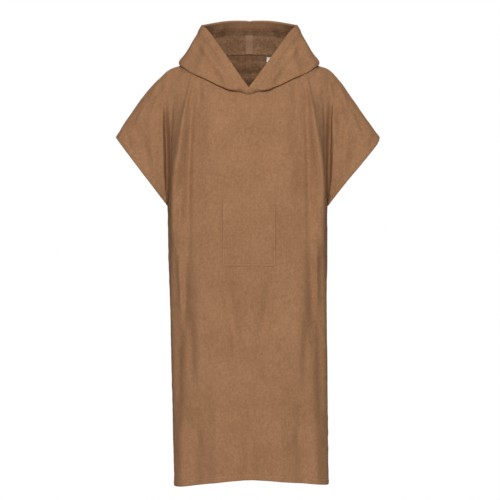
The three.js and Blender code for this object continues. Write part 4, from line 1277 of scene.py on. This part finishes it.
pocket = pocket_sheet()
thin_top = mix(THIN_TOP["share"], 1.0, ease(pocket["top"], 0, THIN_TOP["reach"]))
pulled = POCKET_STITCH["dip"] * ridge(pocket["sewn"] - POCKET_STITCH["inset"], POCKET_STITCH["width"])
swell = unevenness(pocket["u"], pocket["v"], POCKET_SWELL["wave"], POCKET_SWELL["seed"])
rise = POCKET_SWELL["height"] * swell * ease(pocket["side"], 0, POCKET_SWELL["fade"])
pressed = mix(PRESSED_EDGE["share"], 1.0, ease(pocket["sewn"], 0, PRESSED_EDGE["reach"]))
pocket["outside"] = np.maximum((WALL * pressed - pulled + rise) * thin_top, THINNEST)
round_pocket = (pocket["side"] < AT_EDGE) | (pocket["foot"] < AT_EDGE)
pocket_piece = cloth_wall(
    "pocket_cloth", pocket, 0 * pocket["outside"], pocket["outside"], round_pocket, towelling
)
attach(pocket_piece, "root")
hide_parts("pocket")


# Label: a small plain white label of woven polyester satin, left blank. It is caught in the back
# neck seam by its top edge and hangs inside, a little off the cloth.
LABEL = {"from": 48, "to": 80, "top": 20, "bottom": 7, "thickness": 0.7, "clearance": 0.9, "hang": 0.5}
LABEL_GRID = (16, 8)
# The upper rows of the back, which are all that lies behind the label
BACK_ROWS = 40
WEAVE_SPACING = 0.0006


def label_material():
    """Woven satin: smooth and half glossy, with very fine cross threads"""
    material, tree, shader = new_material("woven_polyester_satin")
    place = add_node(tree, "ShaderNodeUVMap", {"uv_map": "cloth"})
    weave = add_node(
        tree, "ShaderNodeTexWave",
        {"Scale": WAVE_AT_SCALE_1 / WEAVE_SPACING, "bands_direction": "Y"},
        {"Vector": place.outputs["UV"]},
    )
    bump = add_node(
        tree, "ShaderNodeBump", {"Strength": 0.2, "Distance": 0.0002}, {"Height": weave.outputs["Fac"]}
    )
    tree.links.new(bump.outputs["Normal"], shader.inputs["Normal"])
    shader.inputs["Base Color"].default_value = linear("#EFECE4")
    shader.inputs["Roughness"].default_value = 0.5
    shader.inputs["Sheen Weight"].default_value = 0.1
    return material


def label_sheet():
    """The label's sheet, along the inner face of the back below the neck seam"""
    sheet = panels["back"]
    inner = sheet["points"] - sheet["normals"] * WALL
    body = inner[sheet["index"]["body"]]
    columns, rows = LABEL_GRID
    across, down = np.meshgrid(np.linspace(0, 1, columns + 1), np.linspace(0, 1, rows + 1))
    x = mix(LABEL["from"], LABEL["to"], across)
    angle = 180 - np.degrees(np.arcsin(x / NECK_RING["half"]))
    z = mix(LABEL["top"], LABEL["bottom"], down) + neck_seam_height(angle) - neck_seam_height(180)
    y = np.zeros_like(x)
    for i, place in enumerate(x[0]):
        depth = [np.interp(place, row[:, 0], row[:, 1]) for row in body[:BACK_ROWS]]
        height = [np.interp(place, row[:, 0], row[:, 2]) for row in body[:BACK_ROWS]]
        y[:, i] = np.interp(-z[:, i], -np.array(height), depth)
    y -= LABEL["clearance"] + LABEL["hang"] * down**2
    points = np.stack([x, y, z], axis=-1)
    grid = np.arange(x.size).reshape(x.shape)
    label = {
        "points": points.reshape(-1, 3), "quads": quads_of(grid, flipped=True),
        "u": x.ravel(), "v": (-z).ravel(),
    }
    add_normals([label])
    return label


label = label_sheet()
thickness = np.full(len(label["points"]), LABEL["thickness"])
square_edges = np.zeros(len(thickness), bool)
label_piece = cloth_wall(
    "neck_label_cloth", label, 0 * thickness, thickness, square_edges, (label_material(),)
)
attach(label_piece, "root")
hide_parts("neck_label")


# Stitching: rows of lockstitch in brown polyester thread, 3 mm a stitch, along the hems, the hood
# band and the pocket, with a bar tack at each end of the hand openings. The thread is drawn thicker
# than life, most of all on the pocket, so that the rows show from where the camera stands.
STITCH = {"pitch": 3.6, "length": 3.0, "radius": 0.32, "lift": 0.15}
# Rings of a stitch: share of its length, girth and lift in radii
STITCH_RINGS = [(-0.5, 0.35, -0.5), (-0.25, 0.9, 0.15), (0.25, 0.9, 0.15), (0.5, 0.35, -0.5)]
RING_SIDES = [(1, 0), (0, 1), (-1, 0), (0, -1)]
POCKET_THREAD = 1.0
THREAD_TWIST = 0.0012
TACK = {"half": 2.4, "lift": 0.1, "reach": 5, "step": 1.25, "length": 3.6, "radius": 0.36}
# Rows and columns of a sheet near the edge that a stitch row follows
BAND_ROWS = 40
SLEEVE_INSET = 8
INNER_BAND_START = 60


def row_lift(outside):
    """Height of a row of thread over a face of the cloth"""
    return outside + STITCH["lift"]


def thread_material():
    """Twisted thread, lighter than the cloth and with a little shine"""
    material, tree, shader = new_material("polyester_thread")
    place = add_node(tree, "ShaderNodeTexCoord")
    twist = add_node(
        tree, "ShaderNodeTexNoise", {"Scale": 1 / THREAD_TWIST, "Detail": 2.0},
        {"Vector": place.outputs["Object"]},
    )
    colour = colour_ramp(tree, twist.outputs["Fac"], [(0.3, "#B08763"), (0.7, "#CBA27E")])
    tree.links.new(colour.outputs["Color"], shader.inputs["Base Color"])
    shader.inputs["Roughness"].default_value = 0.6
    shader.inputs["Specular IOR Level"].default_value = 0.3
    return material


thread = thread_material()


def stitches(line, ways, pitch=STITCH["pitch"], length=STITCH["length"], radius=STITCH["radius"]):
    """Points and quads of a row of stitches that lie on a line of points with outward directions"""
    steps = np.linalg.norm(np.diff(line, axis=0), axis=1)
    at = np.concatenate([[0], np.cumsum(steps)])
    vertices, faces = [], []
    for centre in np.arange(pitch, at[-1] - pitch / 2, pitch):
        base = len(vertices)
        for share, girth, lift in STITCH_RINGS:
            place = centre + share * length
            point = np.array([np.interp(place, at, line[:, k]) for k in range(3)])
            up = np.array([np.interp(place, at, ways[:, k]) for k in range(3)])
            ahead = np.array([np.interp(place + 1, at, line[:, k]) for k in range(3)]) - point
            cross = np.cross(ahead, up)
            cross /= max(np.linalg.norm(cross), TINY)
            for side, rise in RING_SIDES:
                vertices.append(point + radius * (cross * side * girth + up * (rise * girth + lift)))
        for first in (base, base + 4, base + 8):
            for k in range(4):
                beside = (k + 1) % 4
                faces.append((first + k, first + beside, first + 4 + beside, first + 4 + k))
        faces.append((base + 3, base + 2, base + 1, base))
        faces.append((base + 12, base + 13, base + 14, base + 15))
    return np.array(vertices), faces


def stitching(name, rows):
    """One piece from several rows of stitches"""
    vertices, faces, count = [], [], 0
    for points, quads in rows:
        vertices.append(points)
        faces += [tuple(count + i for i in quad) for quad in quads]
        count += len(points)
    mesh = bpy.data.meshes.new(name)
    mesh.from_pydata((np.concatenate(vertices) / MM_PER_METRE).tolist(), [], faces)
    mesh.polygons.foreach_set("use_smooth", [True] * len(mesh.polygons))
    mesh.materials.append(thread)
    piece = bpy.data.objects.new(name, mesh)
    bpy.context.collection.objects.link(piece)
    bpy.context.view_layer.objects.active = piece
    piece.select_set(True)
    bpy.ops.object.mode_set(mode="EDIT")
    bpy.ops.mesh.select_all(action="SELECT")
    bpy.ops.mesh.normals_make_consistent(inside=False)
    bpy.ops.object.mode_set(mode="OBJECT")
    piece.select_set(False)
    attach(piece, "root")


def level_line(sheet, grid, key, distance, height):
    """The line of a sheet a given distance from one of its edges, lifted off the cloth"""
    line, ways = [], []
    for column in range(grid.shape[1]):
        ids = grid[:, column]
        order = np.argsort(sheet[key][ids])
        near = sheet[key][ids][order]
        outer = (sheet["points"] + sheet["normals"] * height[:, None])[ids][order]
        way = sheet["normals"][ids][order]
        line.append([np.interp(distance, near, outer[:, k]) for k in range(3)])
        ways.append([np.interp(distance, near, way[:, k]) for k in range(3)])
    return np.array(line), np.array(ways)


hem_rows, sleeve_rows = [], []
for face, sheet in panels.items():
    from_hem = np.minimum(sheet["hem"], sheet["sleeve hem"])
    lift = row_lift(HEM_EXTRA - hem_dip(from_hem))
    hem_row = HEM_WIDTH - HEM_STITCH["inset"]
    grid = sheet["index"]["body"][-3 * HEM_STEPS:]
    hem_rows.append(stitches(*level_line(sheet, grid, "hem", hem_row, lift)))
    for sign in (-1, 1):
        grid = sheet["index"][sign][:-SLEEVE_INSET, SLEEVE_INSET:].T
        sleeve_rows.append(stitches(*level_line(sheet, grid, "sleeve hem", hem_row, lift)))
stitching("hem_stitches", hem_rows)
stitching("sleeve_hem_stitches", sleeve_rows)

band_rows = []
band_row = HOOD_BAND - BAND_STITCH["inset"]
for sheet in hood.values():
    grid = sheet["index"][-BAND_ROWS:]
    band_rows.append(stitches(*level_line(sheet, grid, "edge", band_row, row_lift(sheet["outside"]))))
    inner_sheet = {**sheet, "normals": -sheet["normals"]}
    back = grid[:, INNER_BAND_START:]
    inner_lift = row_lift(sheet["inside"])
    band_rows.append(stitches(*level_line(inner_sheet, back, "edge", band_row, inner_lift)))
stitching("hood_band_stitches", band_rows)

pocket_top = pocket["points"] + pocket["normals"] * row_lift(pocket["outside"])[:, None]
pocket_line = pocket["index"]
columns_per_mm = POCKET_GRID[0] / (POCKET["right"] - POCKET["left"])
rows_per_mm = POCKET_GRID[1] / (POCKET["top"] - POCKET["bottom"])
column = round(POCKET_STITCH["inset"] * columns_per_mm)
row = POCKET_GRID[1] - round(POCKET_STITCH["inset"] * rows_per_mm)
opening_row = round((POCKET["top"] - POCKET["open to"]) * rows_per_mm)
path = (
    list(pocket_line[opening_row:row, column])
    + list(pocket_line[row, column:POCKET_GRID[0] - column])
    + list(pocket_line[opening_row:row + 1, POCKET_GRID[0] - column][::-1])
)
pocket_rows = [stitches(pocket_top[path], pocket["normals"][path], radius=POCKET_THREAD)]
for edge_column in (1, POCKET_GRID[0] - 1):
    for tack_row in (2, opening_row - 1):
        ids = pocket_line[tack_row:tack_row + 5, edge_column]
        centre, way = pocket_top[ids[2]], pocket["normals"][ids[2]]
        for step in np.arange(-TACK["reach"], TACK["reach"] + 0.1, TACK["step"]):
            bar = centre + np.array([[-TACK["half"], 0, step], [TACK["half"], 0, step]])
            bar = bar + way * TACK["lift"]
            tack = stitches(bar, np.array([way, way]), TACK["half"], TACK["length"], TACK["radius"])
            pocket_rows.append(tack)
stitching("pocket_stitches", pocket_rows)


# Studio: a pale painted floor under the garment, white all round, and large soft lights in front,
# above and behind. The camera stands far enough in front to see the garment almost flat on.
CAMERA_DISTANCE = 7.0
SENSOR_WIDTH = 36
FRAME_WIDTH = 1.32
CENTRE = (0.0032, -0.496)
FLOOR_Z = -1.6
FLOOR_SIZE = 3.2
# Strength of the white that the camera sees, and of the light that it gives the cloth
BACKDROP = {"seen": 1.0, "light": 0.17}

bpy.ops.mesh.primitive_plane_add(size=FLOOR_SIZE, location=(0, 0, FLOOR_Z))
floor = bpy.context.object
floor.name = "studio_floor"
floor_material, _, floor_shader = new_material("pale_painted_floor")
floor_shader.inputs["Base Color"].default_value = linear("#F2F1EF")
floor_shader.inputs["Roughness"].default_value = 0.9
floor.data.materials.append(floor_material)


def soft_light(name, place, aim, size, power):
    """A round lamp of a given size, pointed at a place"""
    data = bpy.data.lights.new(name, "AREA")
    data.shape = "DISK"
    data.size = size
    data.energy = power
    lamp = bpy.data.objects.new(name, data)
    lamp.location = place
    way = np.array(aim) - np.array(place)
    lamp.rotation_euler = (
        math.acos(-way[2] / np.linalg.norm(way)), 0, math.atan2(way[1], way[0]) - math.pi / 2
    )
    bpy.context.collection.objects.link(lamp)


soft_light("key_light", (-0.2, -4.5, 1.7), (0, 0, -0.25), 0.9, 136)
soft_light("fill_light", (0.3, -4.6, 0.8), (0, 0, -0.5), 1.1, 68)
soft_light("top_light", (0, 0.2, 2.6), (0, 0, -0.3), 1.6, 14)
soft_light("back_light", (0.4, 4.2, 1.2), (0, 0, -0.5), 2.0, 110)

world = bpy.data.worlds.new("white_studio")
bpy.context.scene.world = world
world.use_nodes = True
tree = world.node_tree
backdrop = tree.nodes["Background"]
backdrop.inputs["Color"].default_value = (1, 1, 1, 1)
rays = add_node(tree, "ShaderNodeLightPath")
strength = add_node(
    tree, "ShaderNodeMapRange", {"To Min": BACKDROP["light"], "To Max": BACKDROP["seen"]},
    {"Value": rays.outputs["Is Camera Ray"]},
)
tree.links.new(strength.outputs["Result"], backdrop.inputs["Strength"])

camera_data = bpy.data.cameras.new("camera")
camera_data.sensor_width = SENSOR_WIDTH
camera_data.lens = SENSOR_WIDTH * CAMERA_DISTANCE / FRAME_WIDTH
camera = bpy.data.objects.new("camera", camera_data)
camera.location = (CENTRE[0], -CAMERA_DISTANCE, CENTRE[1])
camera.rotation_euler = (math.pi / 2, 0, 0)
bpy.context.collection.objects.link(camera)
bpy.context.scene.camera = camera
bpy.context.scene.view_settings.view_transform = "Standard"
